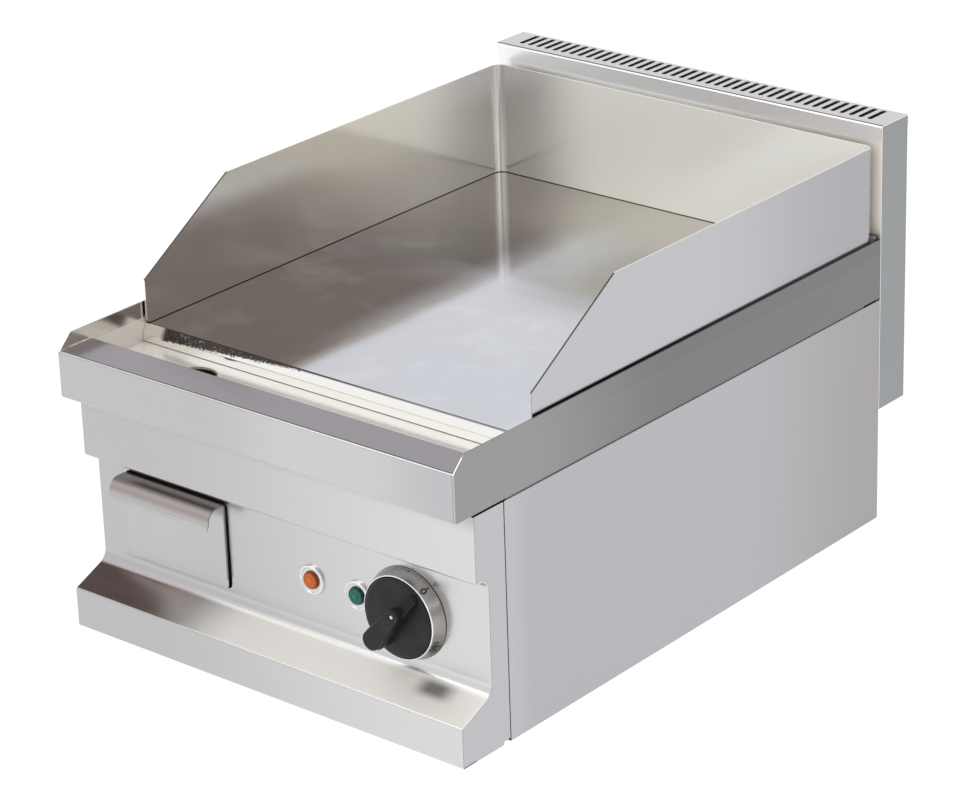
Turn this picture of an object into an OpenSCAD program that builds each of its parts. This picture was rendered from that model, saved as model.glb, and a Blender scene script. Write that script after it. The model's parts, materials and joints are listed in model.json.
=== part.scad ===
// Counter-top electric griddle with splash guard, grease drawer and rear chimney.
// X runs left to right, Y from the front to the back, Z up.
// Heights are counted from the underside of the body and depths from the face of the base lip;
// placed() then stands the griddle on its feet with the origin under the middle of its footprint.

/* [Overall] */
// Width across the side panels
unit_w = 400; // [390:1:440]
// Depth from the base lip to the back of the chimney
unit_d = 580; // [560:1:620]
// Height of the chimney above the underside of the body
unit_h = 345.3; // [338:0.1:360]
// Height of the rubber feet
foot_h = 12; // [9:0.5:16]

/* [Sheet metal] */
// Thickness of the casing sheet
sheet_t = 1.2; // [0.8:0.1:1.5]
// Thickness of the worktop sheet
top_t = 1.5; // [1.2:0.1:1.8]
// Inside radius of the small bends
bend_r = 1; // [0.5:0.1:1.5]
// Gap at a visible seam between two sheets
seam = 0.3; // [0.2:0.05:0.5]
// Depth of the turned-in flanges of the side panels
flange = 20; // [16:1:24]

/* [Front] */
// Height of the base lip
lip_h = 33.5; // [28:0.5:36]
// Rise of the sloping ledge, in degrees
slope_deg = 23; // [15:1:28]
// Depth at which the control panel stands
panel_y = 35; // [32:0.5:38]
// Depth at which the fascia above the panel stands
fascia_y = 21; // [18:0.5:24]
// Height of the fascia's lower edge
fascia_z = 141.6; // [138:0.1:148]
// Radius of the bend between ledge and control panel
ledge_bend_r = 12; // [8:0.5:14]
// Radius of the bend under the fascia
fascia_bend_r = 9; // [6:0.5:9]
// Depth of the cheek behind the base lip
cheek_d = 55.7; // [52:0.1:60]

/* [Worktop] */
// Height of the lower edge of the worktop's skirt
skirt_z = 197.5; // [195:0.5:204]
// Depth at which the worktop's front face stands
top_y = 1.5; // [0.5:0.5:4]
// Height of the front face of the worktop
front_face_h = 39.6; // [37:0.1:44]
// Height of the side walls of the worktop
side_wall_h = 51.2; // [48:0.1:58]
// Depth of the band between front edge and gutter
band_d = 36; // [30:1:40]
// Height of the gutter floor above the skirt's edge
deck_rise = 18; // [16:0.5:21]
// Depth at which the cooking plate begins
plate_y = 92; // [88:1:100]
// Thickness of the cooking plate
plate_t = 14.5; // [12:0.5:16]
// Depth of the bevel along the plate's front edge
plate_bevel = 4; // [2:0.5:5]
// Height of that bevel
plate_bevel_h = 7; // [4:0.5:9]
// Radius of the drain hole in the gutter
drain_r = 17; // [12:0.5:18]

/* [Splash guard] */
// Thickness of the guard sheet
guard_t = 1.5; // [1:0.1:2]
// Height of the guard above the plate
guard_h = 98.3; // [80:0.1:110]
// Height of the guard at its front edge
guard_front_h = 36.6; // [25:0.1:50]
// Depth at which the guard begins
guard_y = 95; // [93:0.5:110]
// Length of the guard's sloping top edge
guard_slope_d = 100; // [60:1:140]
// Radius of the guard's rear corners
guard_corner_r = 10; // [6:0.5:14]

/* [Chimney] */
// Depth of the chimney
chimney_d = 38.2; // [34:0.1:42]
// Height of the chimney's lower edge
chimney_z = 98.4; // [90:0.1:106]
// Pitch of the outlet slots
slot_pitch = 9.03; // [8:0.01:12]
// Width of an outlet slot
slot_w = 4.5; // [4.2:0.1:5]
// Length of an outlet slot
slot_l = 24.5; // [18:0.5:25]
// Depth of the turned-down edge behind the cover
drip_h = 10; // [6:0.5:14]

/* [Controls] */
// Distance of the knob's axis from the right side
knob_inset = 78.4; // [72:0.1:82]
// Height of the knob's and lamps' axes
control_z = 92; // [88:0.5:98]
// Radius of the dial ring on the panel
ring_r = 37.2; // [35:0.1:40]
// How far the dial ring stands out
ring_h = 11.6; // [9:0.1:13]
// Radius of the knob's skirt
skirt_r = 32.2; // [29:0.1:33]
// Height of the knob's grip above its skirt
grip_h = 14; // [10:0.5:16]
// Width of the knob's grip
grip_w = 14; // [10:0.5:16]
// Radius of the thermostat's shaft
shaft_r = 3; // [2.5:0.1:3.5]
// Gap between the dial ring and the green lamp
green_gap = 0.3; // [0.2:0.1:6]
// Distance between the two lamps
lamp_gap = 45.9; // [36:0.1:52]
// Radius of a lamp's bezel
bezel_r = 12.2; // [11:0.1:13]
// Radius of a lamp's lens
lens_r = 7; // [5.5:0.1:8]

/* [Grease drawer] */
// Distance of the drawer's centre from the left side
drawer_inset = 85; // [80:0.5:92]
// Width of the drawer's front
drawer_w = 106.5; // [90:0.5:108]
// Height of the drawer opening's lower edge
drawer_z = 58.7; // [58:0.1:66]
// Height of the drawer opening
drawer_open_h = 73.7; // [66:0.1:73.7]
// Gap between the drawer's front and its opening
drawer_gap = 1.6; // [1:0.1:3]
// How far the drawer's front stands out of the panel
drawer_proud = 2.4; // [1.5:0.1:3]
// Length of the drawer's tray
tray_l = 250; // [180:1:300]
// Height of the drawer's tray
tray_h = 56; // [40:1:58]
// How far the pull stands out in front of the drawer
pull_d = 18.2; // [14:0.1:20]

/* [Feet and rear] */
// Radius of a rubber foot
foot_r = 15; // [12:0.5:18]
// Distance of the feet from the sides, the base lip and the back
foot_inset = 45; // [42:1:60]
// Radius of the cable passage in the gland
gland_bore_r = 5.5; // [4:0.1:6]
// Radius of the bonding stud
stud_r = 3; // [2.5:0.1:4]
// Length of the bonding stud's free end
stud_l = 13; // [10:0.5:16]

/* [Hidden] */
$fn = 64;
// Clearances
fit = 0.1;            // beside a piece that lies against another
run = 0.05;           // radial, around the turning shaft
slide_fit = 0.1;      // radial, around the reset button
screw_fit = 0.2;      // radial, around a screw
seat_gap = 0.3;       // below the drawer and around the plate

// Widths
half_w = unit_w / 2;
wall_x = half_w - sheet_t;       // inner face of side panels and cheeks
rim_x = half_w - top_t;          // inner face of the worktop's side walls
pan_x = wall_x - 0.4;            // base pan and rear panel

// Depths
chimney_y = unit_d - chimney_d;
body_back = chimney_y - seam;
top_back = body_back;
rim_back = top_back - top_t;
rear_face = rim_back;            // outer face of the rear panel
rear_in = rear_face - sheet_t;
panel_back = panel_y + sheet_t;
side_y = cheek_d + seam;

// Heights
side_h = skirt_z - 1.6;
lip_top = skirt_z + front_face_h;
wall_top = skirt_z + side_wall_h;
deck_z = skirt_z + deck_rise;    // gutter floor
deck_under = deck_z - top_t;
plate_top = deck_z + plate_t;
guard_top = plate_top + guard_h;
gutter_y = top_y + band_d;
plate_back = rim_back - seat_gap;
plate_x = rim_x - seat_gap;
guard_x = plate_x - 1.4;         // outer face of the guard
guard_back = plate_back - 2.4;
rear_wall_top = wall_top + 3.3;

// Controls
knob_x = half_w - knob_inset;
green_x = knob_x - ring_r - bezel_r - green_gap;
orange_x = green_x - lamp_gap;
ring_face = panel_y - ring_h;    // front rim of the dial ring
ring_base_t = 1.2;
ring_wall = 0.8;
ring_in_r = skirt_r + 0.6;
bend_top = lip_h + panel_y * tan(slope_deg) + ledge_bend_r * tan((90 - slope_deg) / 2);
ring_dip = max(0, bend_top - control_z + ring_r);    // how far the ring reaches over the bend
ring_relief = ring_dip * ring_dip / (2 * ledge_bend_r) + 0.3;
knob_rear = ring_face + 3.6;
knob_face = ring_face - 2.6;     // middle of the skirt's face
knob_edge = ring_face - 1.2;
knob_tip = knob_face - grip_h;
hub_r = 7;
hub_end = panel_y - ring_base_t - 1.2;
shaft_tip = knob_face - grip_h * 0.5;
shaft_end = panel_back + 20;
thermostat_w = 48;
thermostat_h = 40;
thermostat_d = 34;
thermostat_screw_x = 14;
pilot_deg = 40;                  // where the grip points at rest, clockwise from the top

// Lamps
barrel_r = lens_r - 1;
bezel_h = 2.4;
lens_h = 3.6;
lamp_l = 26;

// Drawer
drawer_x = -half_w + drawer_inset;
open_w = drawer_w + 2 * drawer_gap;
drawer_face = panel_y - drawer_proud;
drawer_back = drawer_face + sheet_t;
drawer_top_gap = 1;
drawer_low = drawer_z + 1;
drawer_top = drawer_z + drawer_open_h - drawer_top_gap;
tray_w = drawer_w - 8;
tray_t = 1;
tray_z = drawer_z + 3.3;
tray_top = tray_z + tray_h;
pull_tip_z = drawer_top - 14.5;
pull_bend_r = 10;
pull_flare = 2.2;
pull_flare_h = 3;
runner_t = 1.2;
runner_z = tray_z - seat_gap;
runner_gap = 2.4;
runner_y = panel_back + 24;
runner_ledge = 14;

// Drain spout
spout_y = (gutter_y + plate_y) / 2;
spout_r = drain_r - 1.5;
spout_wall = 1.2;
spout_flange_r = drain_r + 4.5;
spout_end = tray_top + 10;

// Hot zone under the plate
hot_y0 = plate_y + 12;
hot_y1 = rear_in - 27;
hot_x = half_w - 24;
window_lap = 5;
shield_t = 1;
shield_z = deck_under - 38;
tube_r = 4;
tube_z = deck_z - tube_r - fit;
element_edge = 41;
leg_pitch = (hot_x - element_edge) / 2.5;   // five half-pitches from the middle to the last leg
element_y0 = hot_y0 + 32;
element_y1 = hot_y1 - 26;
element_bend_r = 10;
element_x = [-2 * leg_pitch, 0, 2 * leg_pitch];
clamp_w = 20;
clamp_inset = 16;
clamp_t = 3;
clamp_top = tube_z - tube_r - 0.2;
clamp_y = [for (k = [1, 2, 3]) element_y0 + k * (element_y1 - element_y0) / 4];
clamp_stud_r = 3;
nut_h = 5;
blanket_top = clamp_top - clamp_t - nut_h - 0.7;
tail_z = shield_z - 9;
bulb_r = 3;
bulb_l = 62;
bulb_z = deck_z - bulb_r - fit;
bulb_y = clamp_y[0] + clamp_w / 2 + 6;
bulb_x = [leg_pitch, -leg_pitch];   // control bulb, safety bulb
capillary_r = 1;

// Support rails
rail_x = rim_x - 10.5;
rail_y0 = side_y + 4;
rail_y1 = rear_in - 18;
rail_screw_y = [rail_y0 + 55, rail_y1 - 55];
rail_screw_x = rail_x + 6;

// Guard studs
guard_stud_x = half_w * 0.6;
guard_stud_z = plate_top + guard_h * 0.6;

// Base
pan_edge = 12;
pan_z = sheet_t;
pan_top = pan_z + sheet_t;
foot_x = half_w - foot_inset;
foot_y = [foot_inset, body_back - foot_inset + 10];
foot_screw_r = 2.5;
foot_recess = 6;
stand_hole_r = 3.3;
stand_x = half_w - 50;
stand_y = [foot_y[0] + 45, foot_y[1] - 45];

// Rear fittings
rear_fit_z = 45;
gland_x = -half_w + 70;
gland_r = gland_bore_r + 3;
gland_out = 6;
gland_cap_l = 14;
gland_in = 14;
stud_x = gland_x + 45;
stud_boss_r = stud_r + 0.6;
reset_x = half_w - 80;
reset_r = 3;
reset_neck_r = 5.5;
reset_neck_l = 6;
reset_proud = 3;
reset_travel = 2;
limiter_w = 42;
limiter_h = 34;
limiter_d = 34;

// Screws
m4_r = 2;
m4_head_r = 3.6;
m4_head_h = 2.4;
m4_nut_r = 4;
m4_nut_h = 3.2;
chimney_screw_x = half_w - 9;
chimney_screw_z = [chimney_z + 14, side_h - 14];
flange_screw_x = half_w - 9;
flange_screw_z = [24, 62];
rim_screw_x = half_w - 7.5;
rim_screw_z = wall_top - 1.3;
pan_screw_x = half_w - 11;
pan_screw_y = [side_y + 60, body_back - 60];

// Terminal block
block_w = 60;
block_d = 22;
block_h = 20;
block_x = gland_x + 40;
block_y = rear_in - 75;
lead_r = 1.3;
lead_pitch = 3.9;
terminal_pitch = 11;
tab_lead_pitch = 9;

STEEL = [0.80, 0.80, 0.81];
SATIN = [0.70, 0.70, 0.71];
ZINC = [0.62, 0.64, 0.66];

// ---- Helpers ----

module placed() translate([0, -unit_d / 2, foot_h]) children();

// Extrudes an outline drawn in (y, z) from x0 over width w
module along_x(x0, w) translate([x0, 0, 0]) rotate([90, 0, 90]) linear_extrude(w) children();

// Extrudes an outline drawn in (x, z) from y0 over depth d
module along_y(y0, d) translate([0, y0 + d, 0]) rotate([90, 0, 0]) linear_extrude(d) children();

module box(low, high) translate(low) cube(high - low);

module rod_y(x, y0, y1, z, r) translate([x, y0, z]) rotate([-90, 0, 0]) cylinder(r = r, h = y1 - y0);

module rod_z(x, y, z0, z1, r) translate([x, y, z0]) cylinder(r = r, h = z1 - z0);

module both_sides() for (s = [-1, 1]) scale([s, 1, 1]) children();

module hex_y(x, y0, y1, z, r, bore) difference() {
    translate([x, y0, z]) rotate([-90, 0, 0]) cylinder(r = r, h = y1 - y0, $fn = 6);
    rod_y(x, y0 - 1, y1 + 1, z, bore);
}

module hex_z(x, y, z0, z1, r, bore) difference() {
    translate([x, y, z0]) cylinder(r = r, h = z1 - z0, $fn = 6);
    rod_z(x, y, z0 - 1, z1 + 1, bore);
}

function unit(v) = v / norm(v);
function right_of(v) = [v[1], -v[0]];

// Points of an arc that rounds corner p between a and b
function round_corner(a, p, b, r, n = 8) =
    r <= 0 ? [p] :
    let (u = unit(a - p), v = unit(b - p), h = acos(u * v) / 2,
         c = p + unit(u + v) * r / sin(h), s = p + u * r / tan(h) - c,
         sweep = (180 - 2 * h) * (cross(u, v) < 0 ? 1 : -1))
    [for (i = [0 : n]) let (t = sweep * i / n)
        c + [s[0] * cos(t) - s[1] * sin(t), s[0] * sin(t) + s[1] * cos(t)]];

// A path with its inner corners rounded by the radii in r
function rounded(p, r) = [for (i = [0 : len(p) - 1])
    each (i == 0 || i == len(p) - 1 ? [p[i]] : round_corner(p[i - 1], p[i], p[i + 1], r[i]))];

// The same path moved to its right by t
function moved(p, t) = [for (i = [0 : len(p) - 1])
    let (d1 = i == 0 ? unit(p[1] - p[0]) : unit(p[i] - p[i - 1]),
         d2 = i == len(p) - 1 ? d1 : unit(p[i + 1] - p[i]),
         n1 = right_of(d1), n2 = right_of(d2))
    p[i] + (n1 + n2) * t / (1 + n1 * n2)];

// Radii of the moved path
function moved_r(p, r, t) = [for (i = [0 : len(p) - 1])
    i == 0 || i == len(p) - 1 ? 0 :
    r[i] + t * (cross(p[i] - p[i - 1], p[i + 1] - p[i]) > 0 ? 1 : -1)];

function turned(p) = [for (i = [len(p) - 1 : -1 : 0]) p[i]];

// Section of a folded sheet whose outer face follows path p, t thick to the right
function folded(p, r, t) = concat(rounded(p, r), turned(rounded(moved(p, t), moved_r(p, r, t))));

// A round-ended slot through a horizontal sheet
module slot_z(x, y0, y1, z0, z1, w) {
    box([x - w / 2, y0 + w / 2, z0], [x + w / 2, y1 - w / 2, z1]);
    for (y = [y0 + w / 2, y1 - w / 2]) rod_z(x, y, z0, z1, w / 2);
}

// Angle by which a run of points turns at point i
function turn(p, i) = acos(min(1, unit(p[i] - p[i - 1]) * unit(p[i + 1] - p[i])));

// A lead or capillary through a list of points: eight-sided, each run lengthened to fill its elbows
module lead(p, r) for (i = [0 : len(p) - 2]) {
    d = p[i + 1] - p[i];
    before = i == 0 ? 0 : r * tan(turn(p, i) / 2);
    after = i == len(p) - 2 ? 0 : r * tan(turn(p, i + 1) / 2);
    translate(p[i]) rotate([0, acos(d[2] / norm(d)), atan2(d[1], d[0])]) translate([0, 0, -before])
        cylinder(r = r, h = norm(d) + before + after, $fn = 8);
}

// A rectangle with rounded corners, drawn in the plane
module rounded_rect(x0, y0, x1, y1, r) {
    translate([x0 + r, y0]) square([x1 - x0 - 2 * r, y1 - y0]);
    translate([x0, y0 + r]) square([x1 - x0, y1 - y0 - 2 * r]);
    for (x = [x0 + r, x1 - r], y = [y0 + r, y1 - r]) translate([x, y]) circle(r = r);
}

// ---- Casing ----

// Outer face of the front, from the bottom flange up to the flange under the gutter
out_r = bend_r + sheet_t;
base_flange = 16;
front_path = [
    [base_flange, 0], [0, 0], [0, lip_h], [panel_y, lip_h + panel_y * tan(slope_deg)],
    [panel_y, fascia_z], [fascia_y, fascia_z], [fascia_y, deck_under], [gutter_y + 3.5, deck_under]
];
front_radii = [0, out_r, out_r, ledge_bend_r, fascia_bend_r, out_r, out_r, 0];

module drawer_opening() along_y(panel_y - 1, sheet_t + 2)
    rounded_rect(drawer_x - open_w / 2, drawer_z, drawer_x + open_w / 2, drawer_z + drawer_open_h, 4);

module front_panel() placed() color(STEEL) difference() {
    along_x(-half_w, unit_w) polygon(folded(front_path, front_radii, sheet_t));
    both_sides() {
        box([wall_x - fit, sheet_t + fit, -1], [half_w + 1, base_flange + 1, out_r + fit]);
        box([rim_x - seam, fascia_y - 1, side_h], [half_w + 1, gutter_y + 5, deck_under + 1]);
    }
    drawer_opening();
    for (x = [orange_x, green_x]) rod_y(x, panel_y - 1, panel_back + 1, control_z, barrel_r + screw_fit);
    rod_y(knob_x, panel_y - 1, panel_back + 1, control_z, shaft_r + 2.8);
    for (s = [-1, 1])
        rod_y(knob_x + s * thermostat_screw_x, panel_y - 1, panel_back + 1, control_z, m4_r + screw_fit);
}

// Side plate closing the folded front, with a flange along the seam
module cheek() {
    inside = moved(front_path, sheet_t + fit);
    radii = moved_r(front_path, front_radii, sheet_t + fit);
    face = [for (i = [1 : 5]) each round_corner(inside[i - 1], inside[i], inside[i + 1], radii[i])];
    low = [for (p = face) if (p[1] > sheet_t + 1) p];
    notch = 8;
    along_x(wall_x, sheet_t) polygon(concat(
        [[sheet_t + fit, 0]], low,
        [[fascia_y + sheet_t + fit, side_h], [cheek_d, side_h], [cheek_d, 3], [cheek_d - notch, 3],
         [cheek_d - notch, 0]]));
    box([wall_x - 13, cheek_d - sheet_t, pan_top + pan_edge + 2], [wall_x, cheek_d, side_h - 4]);
}

module left_cheek() placed() color(STEEL) mirror([1, 0, 0]) cheek();
module right_cheek() placed() color(STEEL) cheek();

module side_panel() difference() {
    union() {
        box([wall_x, side_y, 0], [half_w, body_back, side_h]);
        for (z = [0, side_h - sheet_t]) box([half_w - flange, side_y, z], [half_w, rear_in - seam, z + sheet_t]);
        box([half_w - 15, side_y, pan_top + pan_edge + 2], [half_w, side_y + sheet_t, side_h]);
        box([half_w - 15, body_back - sheet_t, 0], [half_w, body_back, side_h]);
    }
    for (y = rail_screw_y)
        rod_z(rail_screw_x, y, side_h - sheet_t - 1, side_h + 1, m4_r + screw_fit);
    for (z = concat(chimney_screw_z, flange_screw_z))
        rod_y(chimney_screw_x, body_back - sheet_t - 1, body_back + 1, z, m4_r + screw_fit);
    for (y = pan_screw_y) rod_z(pan_screw_x, y, -1, sheet_t + 1, m4_r + screw_fit);
}

module left_side_panel() placed() color(STEEL) mirror([1, 0, 0]) side_panel();
module right_side_panel() placed() color(STEEL) side_panel();

vent_z = [118, 152];
vent_h = 26;
vent_w = 6;
vent_pitch = 14;
vent_count = 2 * floor((half_w - 40) / vent_pitch) - 1;
function vent_x(i) = (i - (vent_count - 1) / 2) * vent_pitch;

module rear_panel() placed() color(ZINC) difference() {
    union() {
        box([-pan_x, rear_in, 0], [pan_x, rear_face, deck_under]);
        box([-pan_x, rear_in - 14, deck_under - sheet_t], [pan_x, rear_face, deck_under]);
        box([flange + 2 - half_w, rear_in - 14, 0], [half_w - flange - 2, rear_face, sheet_t]);
    }
    for (z = vent_z, i = [0 : vent_count - 1])
        box([vent_x(i) - vent_w / 2, rear_in - 1, z], [vent_x(i) + vent_w / 2, rear_face + 1, z + vent_h]);
    both_sides() for (z = concat(chimney_screw_z, flange_screw_z))
        rod_y(chimney_screw_x, rear_in - 1, rear_face + 1, z, m4_r + screw_fit);
    rod_y(gland_x, rear_in - 1, rear_face + 1, rear_fit_z, gland_r + screw_fit);
    rod_y(stud_x, rear_in - 1, rear_face + 1, rear_fit_z, stud_boss_r + screw_fit);
    rod_y(reset_x, rear_in - 1, rear_face + 1, rear_fit_z, reset_neck_r + screw_fit);
}

louvre_count = 9;
louvre_pitch = 12;

module base_pan() placed() color(ZINC) {
    y0 = 2 * sheet_t + 1.6;
    y1 = rear_in - seam;
    difference() {
        box([-pan_x, y0, pan_z], [pan_x, y1, pan_top + pan_edge]);
        box([-pan_x + sheet_t, y0 + sheet_t, pan_top], [pan_x - sheet_t, y1 - sheet_t, pan_top + pan_edge + 1]);
        both_sides() {
            for (y = foot_y) rod_z(foot_x, y, 0, pan_top + 1, foot_screw_r + screw_fit);
            for (y = stand_y) rod_z(stand_x, y, 0, pan_top + 1, stand_hole_r);
            for (y = pan_screw_y) rod_z(pan_screw_x, y, 0, pan_top + 1, m4_r + screw_fit);
        }
        for (s = [-1, 1], i = [0 : louvre_count - 1])
            slot_z(s * 60 + (i - (louvre_count - 1) / 2) * louvre_pitch * 0.8,
                   unit_d / 2 + 20, unit_d / 2 + 70, 0, pan_top + 1, 5);
    }
}

// Channel that carries the worktop on the side panel
module support_rail() difference() {
    union() {
        box([rail_x, rail_y0, side_h], [rail_x + top_t, rail_y1, deck_under]);
        for (z = [side_h, deck_under - top_t])
            box([rail_x, rail_y0, z], [rim_x - seam, rail_y1, z + top_t]);
    }
    for (y = rail_screw_y) rod_z(rail_screw_x, y, side_h - 1, side_h + top_t + 1, m4_r + screw_fit);
}

module left_support_rail() placed() color(ZINC) mirror([1, 0, 0]) support_rail();
module right_support_rail() placed() color(ZINC) support_rail();

// ---- Worktop, plate and guard ----

chamfer_d = 13;

module worktop() placed() color(STEEL) difference() {
    union() {
        both_sides() along_x(rim_x, top_t) polygon([
            [top_y, skirt_z], [top_y, lip_top - bend_r], [top_y + chamfer_d, wall_top], [top_back, wall_top],
            [top_back, skirt_z]]);
        along_x(-rim_x, 2 * rim_x) polygon(folded(
            [[top_y + 14, skirt_z], [top_y, skirt_z], [top_y, lip_top], [gutter_y, lip_top],
             [gutter_y, deck_z], [rim_back, deck_z], [rim_back, rear_wall_top]],
            [0, bend_r + top_t, bend_r + top_t, bend_r + top_t, bend_r + top_t, 0, 0], top_t));
        box([-rim_x, rim_back, skirt_z], [rim_x, top_back, deck_z]);
    }
    box([-hot_x + window_lap, hot_y0 + window_lap, deck_under - 1],
        [hot_x - window_lap, hot_y1 - window_lap, deck_z + 1]);
    rod_z(drawer_x, spout_y, deck_under - 1, deck_z + 1, drain_r);
    both_sides() rod_y(rim_screw_x, rim_back - 1, top_back + 1, rim_screw_z, m4_r + screw_fit);
}

module griddle_plate() placed() color([0.74, 0.73, 0.74]) along_x(-plate_x, 2 * plate_x)
    polygon(concat(
        [[plate_y, deck_z]],
        round_corner([plate_y, deck_z], [plate_y, plate_top - plate_bevel_h],
                     [plate_y + plate_bevel, plate_top], 3, 6),
        round_corner([plate_y, plate_top - plate_bevel_h], [plate_y + plate_bevel, plate_top],
                     [plate_back, plate_top], 1.5, 6),
        [[plate_back, plate_top], [plate_back, deck_z]]));

module splash_guard() placed() color([0.72, 0.71, 0.69]) {
    r = guard_corner_r;
    front_r = 5;
    difference() {
        translate([0, 0, plate_top]) linear_extrude(guard_h) difference() {
            union() {
                translate([-guard_x, guard_y]) square([2 * guard_x, guard_back - guard_y - r]);
                translate([r - guard_x, guard_y]) square([2 * (guard_x - r), guard_back - guard_y]);
                for (s = [-1, 1]) translate([s * (guard_x - r), guard_back - r]) circle(r = r);
            }
            translate([guard_t - guard_x, guard_y - 1])
                square([2 * (guard_x - guard_t), guard_back - guard_y - r + 1]);
            translate([r - guard_x, guard_y])
                square([2 * (guard_x - r), guard_back - guard_t - guard_y]);
            for (s = [-1, 1]) translate([s * (guard_x - r), guard_back - r]) circle(r = r - guard_t);
        }
        // Sloping front of the side walls
        along_x(-half_w, unit_w) polygon([
            [guard_y - 1, plate_top + guard_front_h], [guard_y, plate_top + guard_front_h],
            [guard_y + guard_slope_d, guard_top], [guard_y + guard_slope_d, guard_top + 1],
            [guard_y - 1, guard_top + 1]]);
        along_x(-half_w, unit_w) difference() {
            translate([guard_y - 1, plate_top - 1]) square(front_r + 1);
            translate([guard_y + front_r, plate_top + front_r]) circle(r = front_r);
        }
    }
}

// Studs welded behind the guard, each with a collar that keeps the guard off the chimney
module guard_studs() placed() color(ZINC) for (s = [-1, 1]) {
    rod_y(s * guard_stud_x, guard_back, chimney_y, guard_stud_z, 6);
    rod_y(s * guard_stud_x, guard_back, chimney_y + 12, guard_stud_z, clamp_stud_r);
}

module guard_stud_nuts() placed() color(ZINC) for (s = [-1, 1])
    hex_y(s * guard_stud_x, chimney_y + sheet_t, chimney_y + sheet_t + nut_h, guard_stud_z, 5.8,
          clamp_stud_r + fit);

// ---- Chimney ----

slot_count = 2 * floor((half_w - 19) / slot_pitch) + 1;
slot_y = chimney_y + 9.2;
duct_x = half_w - 50;
duct_z = [114, 182];

module chimney_shell() placed() color(STEEL) difference() {
    along_x(-half_w, unit_w) polygon(folded(
        [[chimney_y, chimney_z], [chimney_y, unit_h], [unit_d, unit_h], [unit_d, unit_h - drip_h]],
        [0, out_r, out_r, 0], sheet_t));
    for (i = [0 : slot_count - 1])
        slot_z((i - (slot_count - 1) / 2) * slot_pitch, slot_y, slot_y + slot_l, unit_h - sheet_t - 1,
               unit_h + 1, slot_w);
    box([-duct_x, chimney_y - 1, duct_z[0]], [duct_x, chimney_y + sheet_t + 1, duct_z[1]]);
    both_sides() {
        rod_y(guard_stud_x, chimney_y - 1, chimney_y + sheet_t + 1, guard_stud_z, clamp_stud_r + screw_fit);
        for (z = chimney_screw_z)
            rod_y(chimney_screw_x, chimney_y - 1, chimney_y + sheet_t + 1, z, m4_r + screw_fit);
        rod_y(rim_screw_x, chimney_y - 1, chimney_y + sheet_t + 1, rim_screw_z, m4_r + screw_fit);
    }
}

chimney_back_face = unit_d - sheet_t - fit;
chimney_roof = unit_h - sheet_t - fit;

module chimney_back() placed() color(STEEL)
    box([-half_w, chimney_back_face - sheet_t, chimney_z], [half_w, chimney_back_face, chimney_roof - bend_r]);

module chimney_end() {
    y0 = chimney_y + sheet_t + fit;
    y1 = chimney_back_face - sheet_t - fit;
    box([wall_x, y0, chimney_z], [half_w, y1, chimney_roof - bend_r]);
    box([wall_x, y0 + bend_r + 0.5, chimney_z], [half_w, y1, chimney_roof]);
    box([wall_x - 10, y1 - sheet_t, chimney_z + 8], [half_w, y1, chimney_roof - 12]);
}

module chimney_left_end() placed() color(STEEL) mirror([1, 0, 0]) chimney_end();
module chimney_right_end() placed() color(STEEL) chimney_end();

// ---- Grease path ----

module drain_spout() placed() color(SATIN) translate([drawer_x, spout_y, 0]) difference() {
    union() {
        translate([0, 0, deck_under - spout_wall]) cylinder(r = spout_flange_r, h = spout_wall);
        translate([0, 0, spout_end]) cylinder(r = spout_r + spout_wall, h = deck_under - spout_end);
    }
    translate([0, 0, spout_end - 1]) cylinder(r = spout_r, h = deck_under - spout_end + 2);
}

module drawer_front() placed() color(STEEL) {
    x0 = drawer_x - drawer_w / 2;
    pull_y = drawer_face - pull_d;
    along_x(x0, drawer_w) polygon(folded(
        [[pull_y - pull_flare, pull_tip_z], [pull_y, pull_tip_z + pull_flare_h], [pull_y, drawer_top],
         [drawer_face, drawer_top], [drawer_face, drawer_low + 8]],
        [0, 4, pull_bend_r, 0, 0], sheet_t));
    // Face of the drawer below the pull, with its lower corners rounded
    along_y(drawer_face, sheet_t) {
        rounded_rect(x0, drawer_low, x0 + drawer_w, drawer_low + 20, 3);
        translate([x0, drawer_low + 8]) square([drawer_w, drawer_top - drawer_low - 8]);
    }
    for (x = [x0, x0 + drawer_w - sheet_t])
        box([x, drawer_face, drawer_low + 5], [x + sheet_t, drawer_back + 12, drawer_top - sheet_t]);
}

module drawer_tray() placed() color(SATIN) difference() {
    box([drawer_x - tray_w / 2, drawer_back, tray_z],
        [drawer_x + tray_w / 2, drawer_back + tray_l, tray_top]);
    box([drawer_x - tray_w / 2 + tray_t, drawer_back + tray_t, tray_z + tray_t],
        [drawer_x + tray_w / 2 - tray_t, drawer_back + tray_l - tray_t, tray_top + 1]);
}

// Angles that stand on the base pan and carry the tray on their ledges
module drawer_runners() placed() color(ZINC) translate([drawer_x, 0, 0]) both_sides() {
    web = tray_w / 2 + runner_gap;
    y1 = drawer_back + tray_l + 15;
    box([web, runner_y, pan_top], [web + runner_t, y1, tray_z + 22]);
    box([web - runner_ledge, runner_y, runner_z - runner_t], [web, y1, runner_z]);
    box([web, runner_y, pan_top], [web + 12, y1, pan_top + runner_t]);
    box([web - runner_ledge, y1 - runner_t, runner_z - runner_t], [web, y1, tray_z + 22]);
}

// ---- Heating ----

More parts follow.
